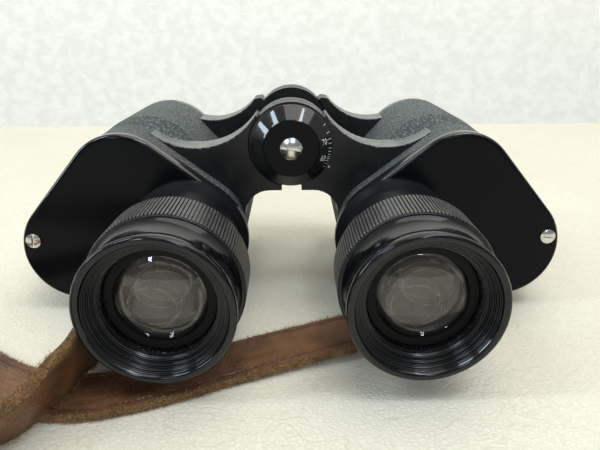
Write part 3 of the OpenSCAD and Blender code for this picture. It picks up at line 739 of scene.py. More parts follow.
def rounded(corners: Sequence[Sequence[float]], steps: int = 5) -> list[Point2]:
    """Rounds the corners of an open or closed profile.

    Args:
        corners: Rows of (across, along, radius); a radius of 0 stays sharp.
        steps: Steps round a corner.

    Returns:
        The profile's points.
    """
    found: list[Point2] = []
    count = len(corners)
    for i, corner in enumerate(corners):
        here = Vector(corner[:2])
        radius = corner[2] if len(corner) > 2 else 0.0
        to_last = Vector(corners[i - 1][:2]) - here
        to_next = Vector(corners[(i + 1) % count][:2]) - here
        if radius <= 0 or min(to_last.length, to_next.length) < TINY:
            found.append((here.x, here.y))
            continue
        a, b = to_last.normalized(), to_next.normalized()
        half = a.angle(b) / 2
        if half > math.radians(89) or half < math.radians(3):
            found.append((here.x, here.y))
            continue
        most = 0.49 * min(to_last.length, to_next.length)  # two roundings never meet on a side
        reach = min(radius / math.tan(half), most)
        centre = here + (a + b).normalized() * (reach / math.cos(half))
        start, end = here + a * reach - centre, here + b * reach - centre
        turn = start.angle_signed(end)
        for k in range(steps + 1):
            t = -turn * k / steps
            across, along = math.cos(t), math.sin(t)
            found.append((centre.x + start.x * across - start.y * along,
                          centre.y + start.x * along + start.y * across))
    return found


def mesh_object(
    name: str,
    points: Iterable[Sequence[float]],
    faces: Iterable[Sequence[int]],
    finish: Finish,
    sharp: float = 40.0,
) -> bpy.types.Object:
    """Makes a closed smooth mesh, its points in millimetres.

    Args:
        name: The object's name.
        points: Corner points.
        faces: Point numbers of each face.
        finish: What it is finished in.
        sharp: Edges that turn more than this many degrees stay sharp.

    Returns:
        The object, at the origin.
    """
    mesh = bpy.data.meshes.new(name)
    mesh.from_pydata([tuple(c * MM for c in p) for p in points], [], [tuple(f) for f in faces])
    tidy(mesh)
    mesh.set_sharp_from_angle(angle=math.radians(sharp))
    mesh.materials.append(finish.make())
    return linked(name, mesh)


def tidy(mesh: bpy.types.Mesh, weld: float = 1e-7) -> None:
    """Merges doubles if weld isn't 0, turns every face outwards and shades it smooth."""
    work = bmesh.new()
    work.from_mesh(mesh)
    if weld:
        bmesh.ops.remove_doubles(work, verts=work.verts, dist=weld)
        bmesh.ops.dissolve_degenerate(work, edges=work.edges, dist=weld)
    bmesh.ops.recalc_face_normals(work, faces=work.faces)
    work.to_mesh(mesh)
    work.free()
    mesh.polygons.foreach_set("use_smooth", [True] * len(mesh.polygons))


def linked(name: str, data: bpy.types.ID) -> bpy.types.Object:
    """Puts a mesh, a lamp or a camera into the scene as an object of that name."""
    made = bpy.data.objects.new(name, data)
    bpy.context.scene.collection.objects.link(made)
    return made


def bridged(loops: int, count: int, closed: bool = True) -> list[tuple[int, ...]]:
    """Faces between neighbouring loops of points.

    Args:
        loops: How many loops there are.
        count: Points of each.
        closed: Whether the last loop meets the first.

    Returns:
        Four point numbers for each face.
    """
    faces = []
    for j in range(loops if closed else loops - 1):
        here, there = j * count, ((j + 1) % loops) * count
        for i in range(count):
            k = (i + 1) % count
            faces.append((here + i, here + k, there + k, there + i))
    return faces


def lathe(
    name: str,
    axis: Point2,
    front: float,
    profile: Sequence[Point2],
    finish: Finish,
    steps: int = TURN_STEPS,
    sharp: float = 40.0,
) -> bpy.types.Object:
    """Turns a closed profile round an axis along Y.

    Args:
        name: The object's name.
        axis: X and Z of the axis, in metres.
        front: Y of the profile's zero, in metres.
        profile: Rows of (radius, depth) in millimetres.
        finish: What it is finished in.
        steps: Facets of the full turn.
        sharp: Edges that turn more than this many degrees stay sharp.

    Returns:
        The turned object.
    """
    points = []
    for k in range(steps):
        turn = 2 * math.pi * k / steps
        for radius, depth in profile:
            out_x, out_z = radius * math.cos(turn), radius * math.sin(turn)
            points.append((axis[0] / MM + out_x, front / MM + depth, axis[1] / MM + out_z))
    return mesh_object(name, points, bridged(steps, len(profile)), finish, sharp)


def plain_mesh(source: bpy.types.Object, name: str) -> bpy.types.Object:
    """Turns an object with its modifiers into a plain mesh object and removes the first.

    Args:
        source: The object with live modifiers.
        name: The name of what is left.

    Returns:
        The plain object.
    """
    graph = bpy.context.evaluated_depsgraph_get()
    graph.update()
    mesh = bpy.data.meshes.new_from_object(source.evaluated_get(graph), depsgraph=graph)
    bpy.data.objects.remove(source)
    mesh.name = name
    return linked(name, mesh)


def joined(name: str, parts: Sequence[bpy.types.Object]) -> bpy.types.Object:
    """Joins mesh objects into one; the first one's data leads.

    Args:
        name: The joined object's name.
        parts: What is joined.

    Returns:
        The one object.
    """
    bpy.context.view_layer.update()
    with bpy.context.temp_override(
        active_object=parts[0], selected_objects=list(parts), selected_editable_objects=list(parts)
    ):
        bpy.ops.object.join()
    parts[0].name = name
    parts[0].data.name = name
    return parts[0]


# ---------------------------------------------------------------- geometry nodes


class Growth:
    """A Geometry Nodes tree with named inputs, run once on an object and then applied."""

    kinds = {int: "NodeSocketInt", float: "NodeSocketFloat", tuple: "NodeSocketVector"}

    def __init__(self, name: str, **values: int | float | tuple[float, float, float]) -> None:
        """Makes the tree and its interface.

        Args:
            name: The tree's name.
            values: The value of each named input.
        """
        self.tree = bpy.data.node_groups.new(name, "GeometryNodeTree")
        face = self.tree.interface
        face.new_socket(name="Geometry", in_out="INPUT", socket_type="NodeSocketGeometry")
        face.new_socket(name="Geometry", in_out="OUTPUT", socket_type="NodeSocketGeometry")
        self.values = {
            face.new_socket(name=key, in_out="INPUT", socket_type=self.kinds[type(value)]).identifier: value
            for key, value in values.items()}
        self.n = NodeMaker(self.tree)
        self.source = self.tree.nodes.new("NodeGroupInput")

    def given(self, key: str) -> Sock:
        """The named input inside the tree."""
        return Sock(self.n, self.source.outputs[key])

    def close(self, geometry: Sock, finish: Finish) -> None:
        """Ends the tree in Realize Instances and Set Material."""
        real = self.n.add("GeometryNodeRealizeInstances", inputs={0: geometry})
        dressed = self.n.add("GeometryNodeSetMaterial", inputs={"Geometry": real, "Material": finish.make()})
        self.n.add("NodeGroupOutput", inputs={0: dressed})

    def run(self, seed_object: bpy.types.Object, name: str) -> bpy.types.Object:
        """Applies the tree to an object.

        Args:
            seed_object: The object whose mesh goes in; it is used up.
            name: The name of the result.

        Returns:
            A plain mesh object.
        """
        modifier = seed_object.modifiers.new(name, "NODES")
        modifier.node_group = self.tree
        for key, value in self.values.items():
            modifier[key] = value
        return plain_mesh(seed_object, name)


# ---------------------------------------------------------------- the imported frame


class Side(Enum):
    """The two halves, as seen from the eyepieces."""

    LEFT = "left"
    RIGHT = "right"

    @property
    def sign(self) -> int:
        """-1 on the left, 1 on the right."""
        return -1 if self is Side.LEFT else 1

    def node(self, part: str) -> str:
        """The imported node's name for a part of this half."""
        return f"{self.value}_{part}"

    def nodes(self, *parts: str) -> list[str]:
        """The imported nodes' names for parts of this half."""
        return [self.node(part) for part in parts]


@dataclass
class Packed:
    """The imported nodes, and the places that are read from them."""

    nodes: dict[str, bpy.types.Object]

    def axis(self, node: str) -> Point2:
        """X and Z of a turned node's axis."""
        low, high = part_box(node)
        return ((low.x + high.x) / 2, (low.z + high.z) / 2)

    def front(self, node: str) -> float:
        """The node's lowest Y."""
        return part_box(node)[0].y

    def back(self, node: str) -> float:
        """The node's highest Y."""
        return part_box(node)[1].y

    def dress(self, finish: Finish, *nodes: str) -> None:
        """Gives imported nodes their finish."""
        for node in nodes:
            slots = self.nodes[node].data.materials
            slots.clear()
            slots.append(finish.make())

    def stand_in(self, piece: bpy.types.Object, slot: str, *nodes: str) -> bpy.types.Object:
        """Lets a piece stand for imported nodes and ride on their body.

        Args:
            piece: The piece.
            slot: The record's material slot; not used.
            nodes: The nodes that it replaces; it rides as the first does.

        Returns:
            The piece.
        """
        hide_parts(*nodes)
        return self.carry(piece, slot, nodes[0])

    def carry(self, piece: bpy.types.Object, slot: str, with_node: str) -> bpy.types.Object:
        """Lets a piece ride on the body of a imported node."""
        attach(piece, self.nodes[with_node]["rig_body"])
        LOG.info("%s rides with %s", piece.name, with_node)
        return piece


def belt(circles: Sequence[tuple[Point2, float]], step: float = 4.0) -> list[Point2]:
    """Points of a belt stretched counter-clockwise round circles.

    Args:
        circles: Centre and radius of each, in order.
        step: Degrees between two points on a circle.

    Returns:
        The belt's points.
    """

    def leave(a: tuple[Point2, float], b: tuple[Point2, float]) -> float:
        """Direction of the outward normal of the straight run from a to b."""
        dx, dy = b[0][0] - a[0][0], b[0][1] - a[0][1]
        return math.degrees(math.atan2(dy, dx) - math.acos((a[1] - b[1]) / math.hypot(dx, dy)))

    found: list[Point2] = []
    count = len(circles)
    for i, (centre, radius) in enumerate(circles):
        start = leave(circles[i - 1], circles[i])
        turn = (leave(circles[i], circles[(i + 1) % count]) - start) % 360
        steps = max(1, math.ceil(turn / step))
        for k in range(steps + 1):
            t = math.radians(start + turn * k / steps)
            found.append((centre[0] + radius * math.cos(t), centre[1] + radius * math.sin(t)))
    return found


# ---------------------------------------------------------------- sub-assemblies


@dataclass
class HalfPart:
    """A sub-assembly of one half."""

    packed: Packed
    side: Side


@dataclass
class Housing(HalfPart):
    """One half's casting, covering and two covers. Sizes in millimetres."""

    prism_leg: float = 22.9
    prism_turn: float = 38.3
    eye_corner: float = 15.0
    turn_corner: float = 14.6
    obj_corner: float = 15.5
    foot: float = 19.42
    swell: float = 2.0
    foot_in: float = 1.5
    swell_in: float = 3.0
    sheet: float = 1.2
    lap: float = 0.3
    cover_roll: float = 1.35
    neck: float = 11.65
    scoop_at: Point2 = (27.2, 19.7)
    scoop_front: float = 20.5
    scoop_back: float = 18.5
    arm_front: float = 54.0
    arm_depth: float = 10.0
    cast_back: float = 100.0

    def centres(self) -> tuple[Point2, Point2, Point2]:
        """Eyepiece, objective and turned axis, in millimetres."""
        x, z = self.packed.axis(self.side.node("eyecup"))
        x, z = abs(x) / MM, z / MM
        t = math.radians(self.prism_turn)
        turn = (x + self.prism_leg * math.cos(t), z + self.prism_leg * math.sin(t))
        lens = (turn[0] + self.prism_leg * math.sin(t), turn[1] - self.prism_leg * math.cos(t))
        return (x, z), lens, turn

    def front_outline(self, grow: float) -> list[Point2]:
        """Outline of the eyepiece half, grown."""
        radii = (self.eye_corner, self.obj_corner, self.turn_corner)
        return belt([(at, radius + grow) for at, radius in zip(self.centres(), radii)])

    def rear_outline(self, grow: float) -> list[Point2]:
        """Outline of the objective half, grown."""
        eye, lens, turn = self.centres()
        foot, swell = (lens[0] - self.foot_in, lens[1]), (turn[0] - self.swell_in, turn[1])
        circles = ((eye, self.eye_corner), (foot, self.foot), (swell, self.turn_corner + self.swell))
        return belt([(at, radius + grow) for at, radius in circles])

    def stamped(
        self,
        name: str,
        outline: Callable[[float], list[Point2]],
        hole: Point2,
        rings: Sequence[Point2],
        finish: Finish,
    ) -> bpy.types.Object:
        """Builds a stamped cover: rings of an outline, closed round a hole.

        Args:
            name: The object's name.
            outline: Gives the outline grown by a number.
            hole: Centre of the neck's hole.
            rings: Rows of (growth, y) from the inner lip over the rim to the face.
            finish: What it is finished in.

        Returns:
            The cover.
        """
        loops = [[(x, y, z) for x, z in outline(grow)] for grow, y in rings]
        outer = outline(rings[-1][0])
        face = rings[-1][1]
        back = face + (self.sheet if rings[0][1] > face else -self.sheet)
        loops += [self._hole(outer, hole, face), self._hole(outer, hole, back)]
        loops.append([(x, back, z) for x, z in outline(-self.sheet - self.lap)])
        points = [(self.side.sign * x, y, z) for loop in loops for x, y, z in loop]
        return mesh_object(name, points, bridged(len(loops), len(outer)), finish, sharp=50)

    def _hole(self, outer: Sequence[Point2], hole: Point2, y: float) -> list[tuple[float, float, float]]:
        """The neck's hole, with a point for each point of the outline."""
        loop = []
        for x, z in outer:
            way = Vector((x - hole[0], z - hole[1])).normalized() * self.neck
            loop.append((hole[0] + way.x, y, hole[1] + way.y))
        return loop

    def rim(self, base: float, face: float, grow: float, steps: int = 7) -> list[Point2]:
        """Rows of (growth, y) over a rolled rim.

        Args:
            base: Y of the edge on the casting.
            face: Y of the flat face.
            grow: Growth of the outline at the edge.
            steps: Steps round the roll.

        Returns:
            The rows, from the edge to the face.
        """
        way = 1 if base > face else -1
        rows: list[Point2] = [(grow - self.sheet, base), (grow, base), (grow, face + way * self.cover_roll)]
        for k in range(1, steps + 1):
            t = math.pi / 2 * k / steps
            inward, along = self.cover_roll * (1 - math.cos(t)), self.cover_roll * (1 - math.sin(t))
            rows.append((grow - inward, face + way * along))
        return rows

    def build(self) -> None:
        """Builds and dresses the housing."""
        packed, side = self.packed, self.side
        eye, lens, _ = self.centres()
        name, shine = ("gloss_black", 0.15) if side is Side.LEFT else ("gloss_black_rubbed", 0.2)
        gloss = GlossBlack(name, roughness=shine, specular=0.1)
        near, far = side.nodes("eyepiece_cover", "objective_cover")
        front, back = packed.front(near), packed.back(far)
        for cover, outline, hole, base, face, lap, finish in (
            (near, self.front_outline, eye, packed.back(near), front, self.lap,
             replace(gloss, name=name + "_front", flat=front)),
            (far, self.rear_outline, lens, packed.front(far), back, -self.lap, gloss),
        ):
            rim = self.rim(base / MM, face / MM, lap)
            piece = self.stamped(cover + "_stamped", outline, hole, rim, finish)
            packed.stand_in(piece, "gloss_black", cover)
        packed.dress(self.enamel(), side.node("casting"))
        skin = Leatherette("leatherette", roughness=0.55, specular=0.2)
        packed.dress(skin, side.node("leatherette"))
        packed.dress(CHROME, side.node("cover_screws"))

    def enamel(self) -> BlackEnamel:
        """The casting's enamel, with the wear of this half's arms, whose light grey also stands in for a
        grazing reflection (painted reflection).
        """
        x, z = self.packed.axis("scale_cap")
        start = self.packed.front(self.side.node("eyecup"))
        cx, cz = x + self.side.sign * self.scoop_at[0] * MM, z + self.scoop_at[1] * MM
        depth = self.arm_depth
        arms = tuple(
            (cx, cz, radius * MM, start + at * MM, start + (at + depth) * MM)
            for radius, at in ((self.scoop_front, self.arm_front), (self.scoop_back, self.cast_back - depth)))
        return BlackEnamel(self.side.node("enamel"), roughness=0.33, scoops=arms)


@dataclass
class Eyepiece(HalfPart):
    """One eyepiece: fixed tube, ribbed focusing ring, eyecup and lenses. Sizes in millimetres."""

    rim_r: float = 17.4
    neck_r: float = 16.4
    lip_r: float = 15.5
    throat_r: float = 12.5
    funnel: float = 4.7
    ring_r: float = 18.4
    ring_front: float = 11.0
    ring_back: float = 24.0
    rib_depth: float = 0.45
    rib_foot: float = 0.84  # share of the pitch
    rib_top: float = 0.72  # share of the foot
    rib_sink: float = 0.12
    rib_end: float = 0.35
    rib_run: float = 0.5
    rib_drop: float = 0.2
    ribs: int = 132
    lens_r: float = 10.2
    lens_edge: float = 6.95
    lens_edge_t: float = 2.2
    lens_curve: float = 24.0
    lens_back: float = 60.0
    lens_steps: int = 20
    pole: float = 1e-4  # radius of the tiny hole at the lens's middle
    grooves: int = 11
    groove_depth: float = 0.13

    def __post_init__(self) -> None:
        """Reads the axis and the rim's place."""
        self.axis = self.packed.axis(self.side.node("eyecup"))
        self.rim = self.packed.front(self.side.node("eyecup"))

    def cup_profile(self) -> list[Point2]:
        """Outer lip and neck, and the grooved funnel inside."""
        rim, neck = self.rim_r, self.neck_r
        outside = smooth_curve(
            [(self.lip_r, 0.62), (15.75, 0.24), (16.15, 0.05), (16.6, 0.0), (17.05, 0.16), (rim - 0.04, 0.62),
             (rim, 1.3), (rim - 0.06, 2.1), (17.08, 3.0), (16.68, 3.9), (neck, 5.0), (neck + 0.02, 7.2),
             (16.62, 8.9), (17.05, 10.2), (17.5, self.ring_front - 0.02)], 4)
        profile = [(float(r), float(y)) for r, y in outside]
        inner, back, throat = 15.78, self.ring_front + 0.98, self.throat_r
        profile += [(inner, self.ring_front - 0.02), (inner, back), (throat, back)]
        profile += [(throat, self.funnel + 0.25), (throat + 0.12, self.funnel)]
        start, end = Vector((self.throat_r + 0.35, self.funnel - 0.55)), Vector((self.lip_r - 0.07, 0.72))
        out = Vector((-(end - start).y, (end - start).x)).normalized()
        if out.x < 0:
            out = -out
        for k in range(self.grooves):
            for share, depth in ((0.0, 0.0), (0.4, 0.0), (0.58, 1.0), (0.8, 0.35)):
                fade = min(1.0, 0.35 + 0.65 * min(k, self.grooves - 1 - k) / 2)
                spot = start.lerp(end, (k + share) / self.grooves) + out * (depth * fade * self.groove_depth)
                profile.append((spot.x, spot.y))
        return profile

    def lens_profile(self) -> list[Point2]:
        """The eye lens: bulged on both faces, with a ground edge."""
        front, back, edge = self.lens_edge, self.lens_edge + self.lens_edge_t, self.lens_r
        profile = []
        for k in range(self.lens_steps + 1):
            r = edge * k / self.lens_steps
            profile.append((max(r, self.pole), front - self._bulge(r, self.lens_curve)))
        for k in range(self.lens_steps + 1):
            r = edge * (1 - k / self.lens_steps)
            profile.append((max(r, self.pole), back + self._bulge(r, self.lens_back)))
        return profile

    def _bulge(self, r: float, curve: float) -> float:
        """How far a face of radius `curve` stands out past the lens's edge, at a distance from its axis."""
        return math.sqrt(curve**2 - r * r) - math.sqrt(curve**2 - self.lens_r**2)

    def ring_profile(self) -> list[Point2]:
        """The focusing ring under its ribs."""
        r = self.ring_r - self.rib_depth
        a, b = self.ring_front, self.ring_back
        return rounded(
            [(13.0, a + 2, 0), (14.6, a + 2, 0), (14.6, a + 1, 0), (15.85, a + 1, 0), (15.85, a, 0.1),
             (r, a, 0.12), (r, b, 0.4), (14.9, b, 0.1), (14.9, a + 3.6, 0), (13.0, a + 3.6, 0)])

    def rib(self) -> bpy.types.Object:
        """One rib, on the +X side of the origin's Y axis."""
        half = math.pi / self.ribs * self.rib_foot
        top = half * self.rib_top
        low, high = self.ring_r - self.rib_depth - self.rib_sink, self.ring_r
        a, b, run = self.ring_front + self.rib_sink, self.ring_back - self.rib_end, self.rib_run
        ramp = ((0.0, low), (run * 0.4, high - self.rib_drop), (run, high))
        points = []
        for y, r in [(a + far, r) for far, r in ramp] + [(b - far, r) for far, r in reversed(ramp)]:
            for angle, share in ((-half, 0.0), (-top, 1.0), (top, 1.0), (half, 0.0)):
                radius = low + (r - low) * share
                points.append((radius * math.cos(angle), y, radius * math.sin(angle)))
        faces = [(4 * j + i, 4 * j + i + 1, 4 * j + i + 5, 4 * j + i + 4) for j in range(5) for i in range(3)]
        faces += [(4 * j, 4 * j + 4, 4 * j + 7, 4 * j + 3) for j in range(5)]
        faces += [(0, 1, 2, 3), (20, 21, 22, 23)]
        return mesh_object("rib", points, faces, BLACK_TUBE, sharp=30)

    def ring_of_ribs(self, finish: Finish) -> bpy.types.Object:
        """Repeats the rib round the eyepiece's axis with Geometry Nodes."""
        name, (x, z) = self.side.node("ribs"), self.axis
        step = 2 * math.pi / self.ribs
        growth = Growth(name + "_tree", Count=self.ribs, Step=step, Centre=(x, self.rim, z))
        n, given = growth.n, growth.given
        spots = n.add("GeometryNodePoints", inputs={"Count": given("Count"), "Position": given("Centre")})
        angle = n.add("GeometryNodeInputIndex") * given("Step")
        growth.close(n.copies(spots, given("Geometry"), n.joint(y=angle)), finish)
        return growth.run(self.rib(), name)

    def build(self) -> None:
        """Builds and dresses the eyepiece."""
        packed, side = self.packed, self.side
        axis, rim = self.axis, self.rim
        bakelite = Bakelite(side.node("bakelite"), roughness=0.13, axis=axis, face=rim, specular=0.42)
        cup = lathe(side.node("eyecup_moulded"), axis, rim, self.cup_profile(), bakelite, 192, sharp=32)
        packed.stand_in(cup, "bakelite", side.node("eyecup"))
        ribbed = RibbedMetal(side.node("ribbed_metal"), axis=axis, radius=self.ring_r * MM)
        ribs = self.ring_of_ribs(ribbed)
        body = lathe(side.node("focus_ring_turned"), axis, rim, self.ring_profile(), ribbed)
        ring = joined(side.node("focus_ring_ribbed"), [body, ribs])
        packed.stand_in(ring, "ribbed_ring", side.node("focus_ring"))
        tube = DarkTube("satin_tube", roughness=0.36, colour=(0.005, 0.0056, 0.0062, 1.0), specular=0.14)
        matt = DarkTube("matt_black", roughness=0.55, colour=(0.0035, 0.0034, 0.003, 1.0), specular=0.15)
        hazed = DarkTube("hazed_brown", roughness=0.5, colour=(0.005, 0.004, 0.003, 1.0), specular=0.1)
        packed.dress(tube, side.node("fixed_tube"))
        packed.dress(matt, *side.nodes("lens_tube", "eye_lens_ring", "field_stop"))
        packed.dress(hazed, *side.nodes("field_lens", "lens_spacer"))
        # With the axis given, the eye lens carries a painted glow: painted reflections of the lenses behind
        # it.
        glass = LensGlass(side.node("lens_glass"), ior=1.52, specular=0.2, transmission=1.0, axis=axis)
        lens = lathe(side.node("eye_lens_polished"), axis, rim, self.lens_profile(), glass, 96, sharp=30)
        packed.stand_in(lens, "glass", side.node("eye_lens"))


@dataclass
class Objective(HalfPart):
    """One objective: barrel, cell and cemented pair."""

    def build(self) -> None:
        """Dresses the objective's nodes."""
        packed, side = self.packed, self.side
        packed.dress(BLACK_TUBE, *side.nodes("barrel", "objective_cell", "objective_ring"))
        coated = LensGlass("coated_glass", ior=1.6, tint=(0.90, 0.90, 0.97, 1.0), transmission=1.0)
        packed.dress(coated, *side.nodes("objective_crown", "objective_flint"))


@dataclass
class Prisms(HalfPart):
    """The prisms and their clips inside one half."""

    def build(self) -> None:
        """Dresses the hidden optical parts."""
        packed, side = self.packed, self.side
        glass = LensGlass("lens_glass", ior=1.52, transmission=1.0)
        packed.dress(glass, *side.nodes("eyepiece_prism", "objective_prism"))
        steel = BareMetal("spring_steel", 1.0, 0.35, colour=(0.45, 0.44, 0.42, 1.0))
        packed.dress(steel, side.node("prism_clips"))
        packed.dress(BRASS, side.node("clip_screws"))


@dataclass
class Hinge:
    """Axle, tube, caps and the engraved scale. Sizes in millimetres."""

    packed: Packed
    cap_r: float = 11.6
    face_r: float = 7.75
    cap_h: float = 5.4
    edge: float = 0.22
    screw_r: float = 1.5
    axle_r: float = 4.5
    front_h: float = 3.4
    cap_t: float = 2.0
    front_t: float = 1.4
    bevel: float = 1.2
    tick_angles: tuple[float, ...] = (
        33.0, 20.7, 10.9, 4.3, -2.6, -7.7, -12.4, -16.2, -19.1, -22.4, -26.9, -31.9)
    numbers: tuple[tuple[str, float, float], ...] = (("70", 8.5, 0.46), ("60", -20.0, 0.48))
    number_h: float = 1.75
    cap_height: float = 0.70  # height of a digit as a share of the font's size
    tick_half: float = 0.075
    tick_t: float = 0.02
    tick_gap: float = 0.25
    tick_long: float = 1.5
    tick_short: float = 1.2
    long_ticks: tuple[int, ...] = (2, 9)
    digit_t: float = 0.03
    digit_gap: float = 1.05  # share of the font's own spacing
    number_in: float = 1.2
    narrow: float = 0.8
    dot_r: float = 0.28
    dot_angle: float = -31.0
    dot_out: float = 1.0
    dot_lift: float = 0.05

    def __post_init__(self) -> None:
        """Reads the axis and the cap's face."""
        self.axis = self.packed.axis("scale_cap")
        self.face = self.packed.front("scale_cap")
        self.slant = (self.cap_r - self.face_r) * math.sqrt(2)

    def on_cone(self, out: float, across: float, lift: float) -> tuple[float, float, float]:
        """A point on the cap's cone.

        Args:
            out: Distance along the slant from the flat face's edge, in millimetres.
            across: Angle round the axis, in radians.
            lift: Height above the surface.

        Returns:
            The point, in millimetres.
        """
        slant = math.sqrt(0.5)
        radius = self.face_r + (out + lift) * slant
        depth = (out - lift) * slant
        return (
            self.axis[0] / MM + radius * math.cos(across),
            self.face / MM + depth,
            self.axis[1] / MM + radius * math.sin(across),
        )

    def caps(self) -> None:
        """The two turned caps."""
        gloss = GlossBlack("cap_gloss", roughness=0.14, specular=0.1, flat=self.face)
        r, f, h, e = self.cap_r, self.face_r, self.cap_h, self.edge
        lead = 2.5 * e
        profile = rounded(
            [(self.screw_r, 0, 0), (f, 0, e), (f + lead, lead, 0), (r - lead, r - f - lead, 0), (r, r - f, e),
             (r, h, 0.1), (self.axle_r, h, 0), (self.axle_r, self.cap_t, 0), (self.screw_r, self.cap_t, 0)])
        cap = lathe("scale_cap_turned", self.axis, self.face, profile, gloss, sharp=35)
        self.packed.stand_in(cap, "gloss_black", "scale_cap")
        h, bevel = self.front_h, self.bevel
        start = self.packed.front("front_cap")
        profile = rounded(
            [(self.axle_r, 0, 0), (r, 0, 0.1), (r, h - bevel, e), (r - bevel, h, e), (self.screw_r, h, 0),
             (self.screw_r, h - self.front_t, 0), (self.axle_r, h - self.front_t, 0)])
        cap = lathe("front_cap_turned", self.axis, start, profile, gloss, sharp=35)
        self.packed.stand_in(cap, "gloss_black", "front_cap")

    def ticks(self) -> bpy.types.Object:
        """The scale's ticks, a thin painted bar at each angle."""
        parts = []
        slant_end = self.slant - self.tick_gap
        for i, angle in enumerate(self.tick_angles):
            length = self.tick_long if i in self.long_ticks else self.tick_short
            mid = math.radians(angle)
            points = []
            for lift in (-self.tick_t, self.tick_t):
                for out in (slant_end - length, slant_end):
                    turn = self.tick_half / (self.face_r + out * math.sqrt(0.5))
                    points += [self.on_cone(out, mid - turn, lift), self.on_cone(out, mid + turn, lift)]
            parts.append(mesh_object(f"tick_{i}", points, BOX_FACES, SCALE_WHITE))
        return joined("scale_ticks", parts)

    def number(self, text: str, angle: float, start: float) -> bpy.types.Object:
        """A number wrapped on the cone, read outwards.

        Args:
            text: The digits.
            angle: Its place round the axis, in degrees.
            start: Where it starts on the slant, as a share.

        Returns:
            The mesh of its digits.
        """
        curve = bpy.data.curves.new("digits", "FONT")
        curve.body = text
        curve.size = self.number_h / self.cap_height
        curve.extrude = self.digit_t
        curve.space_character = self.digit_gap
        curve.align_y = "CENTER"
        digits = plain_mesh(linked("digits", curve), "number_" + text)
        mesh = digits.data
        mid = math.radians(angle)
        for vertex in mesh.vertices:
            u, v, w = vertex.co
            out = self.slant * start - self.number_in + u * self.narrow
            radius = self.face_r + out * math.sqrt(0.5)
            vertex.co = Vector(self.on_cone(out, mid + v / radius, w)) * MM
        tidy(mesh, 1e-8)
        mesh.materials.clear()
        mesh.materials.append(SCALE_WHITE.make())
        return digits

    def dot(self) -> bpy.types.Object:
        """The index dot on the right arm."""
        turn = math.radians(self.dot_angle)
        r = self.cap_r + self.dot_out
        centre = (self.axis[0] + r * MM * math.cos(turn), self.axis[1] + r * MM * math.sin(turn))
        arm = self.face + (self.cap_h + self.dot_lift) * MM
        edge = self.dot_r
        profile = [(0.0, 0.02), (0.0, -0.05), (edge * 0.7, -0.045), (edge, -0.01), (edge, 0.02)]
        return lathe("index_dot", centre, arm, profile, SCALE_WHITE, 24)

    def build(self) -> None:
        """Builds and dresses the hinge."""
        packed = self.packed
        self.caps()
        packed.carry(self.ticks(), "gloss_black", "scale_cap")
        for text, angle, start in self.numbers:
            packed.carry(self.number(text, angle, start), "gloss_black", "scale_cap")
        packed.carry(self.dot(), "gloss_black", "right_casting")
        packed.dress(BLACK_TUBE, "hinge_tube")
        packed.dress(BareMetal("steel", 1.0, 0.3, colour=(0.5, 0.5, 0.5, 1.0)), "hinge_axle")
        packed.dress(BRASS, "hinge_washers")
        packed.dress(CHROME, "cap_screws")


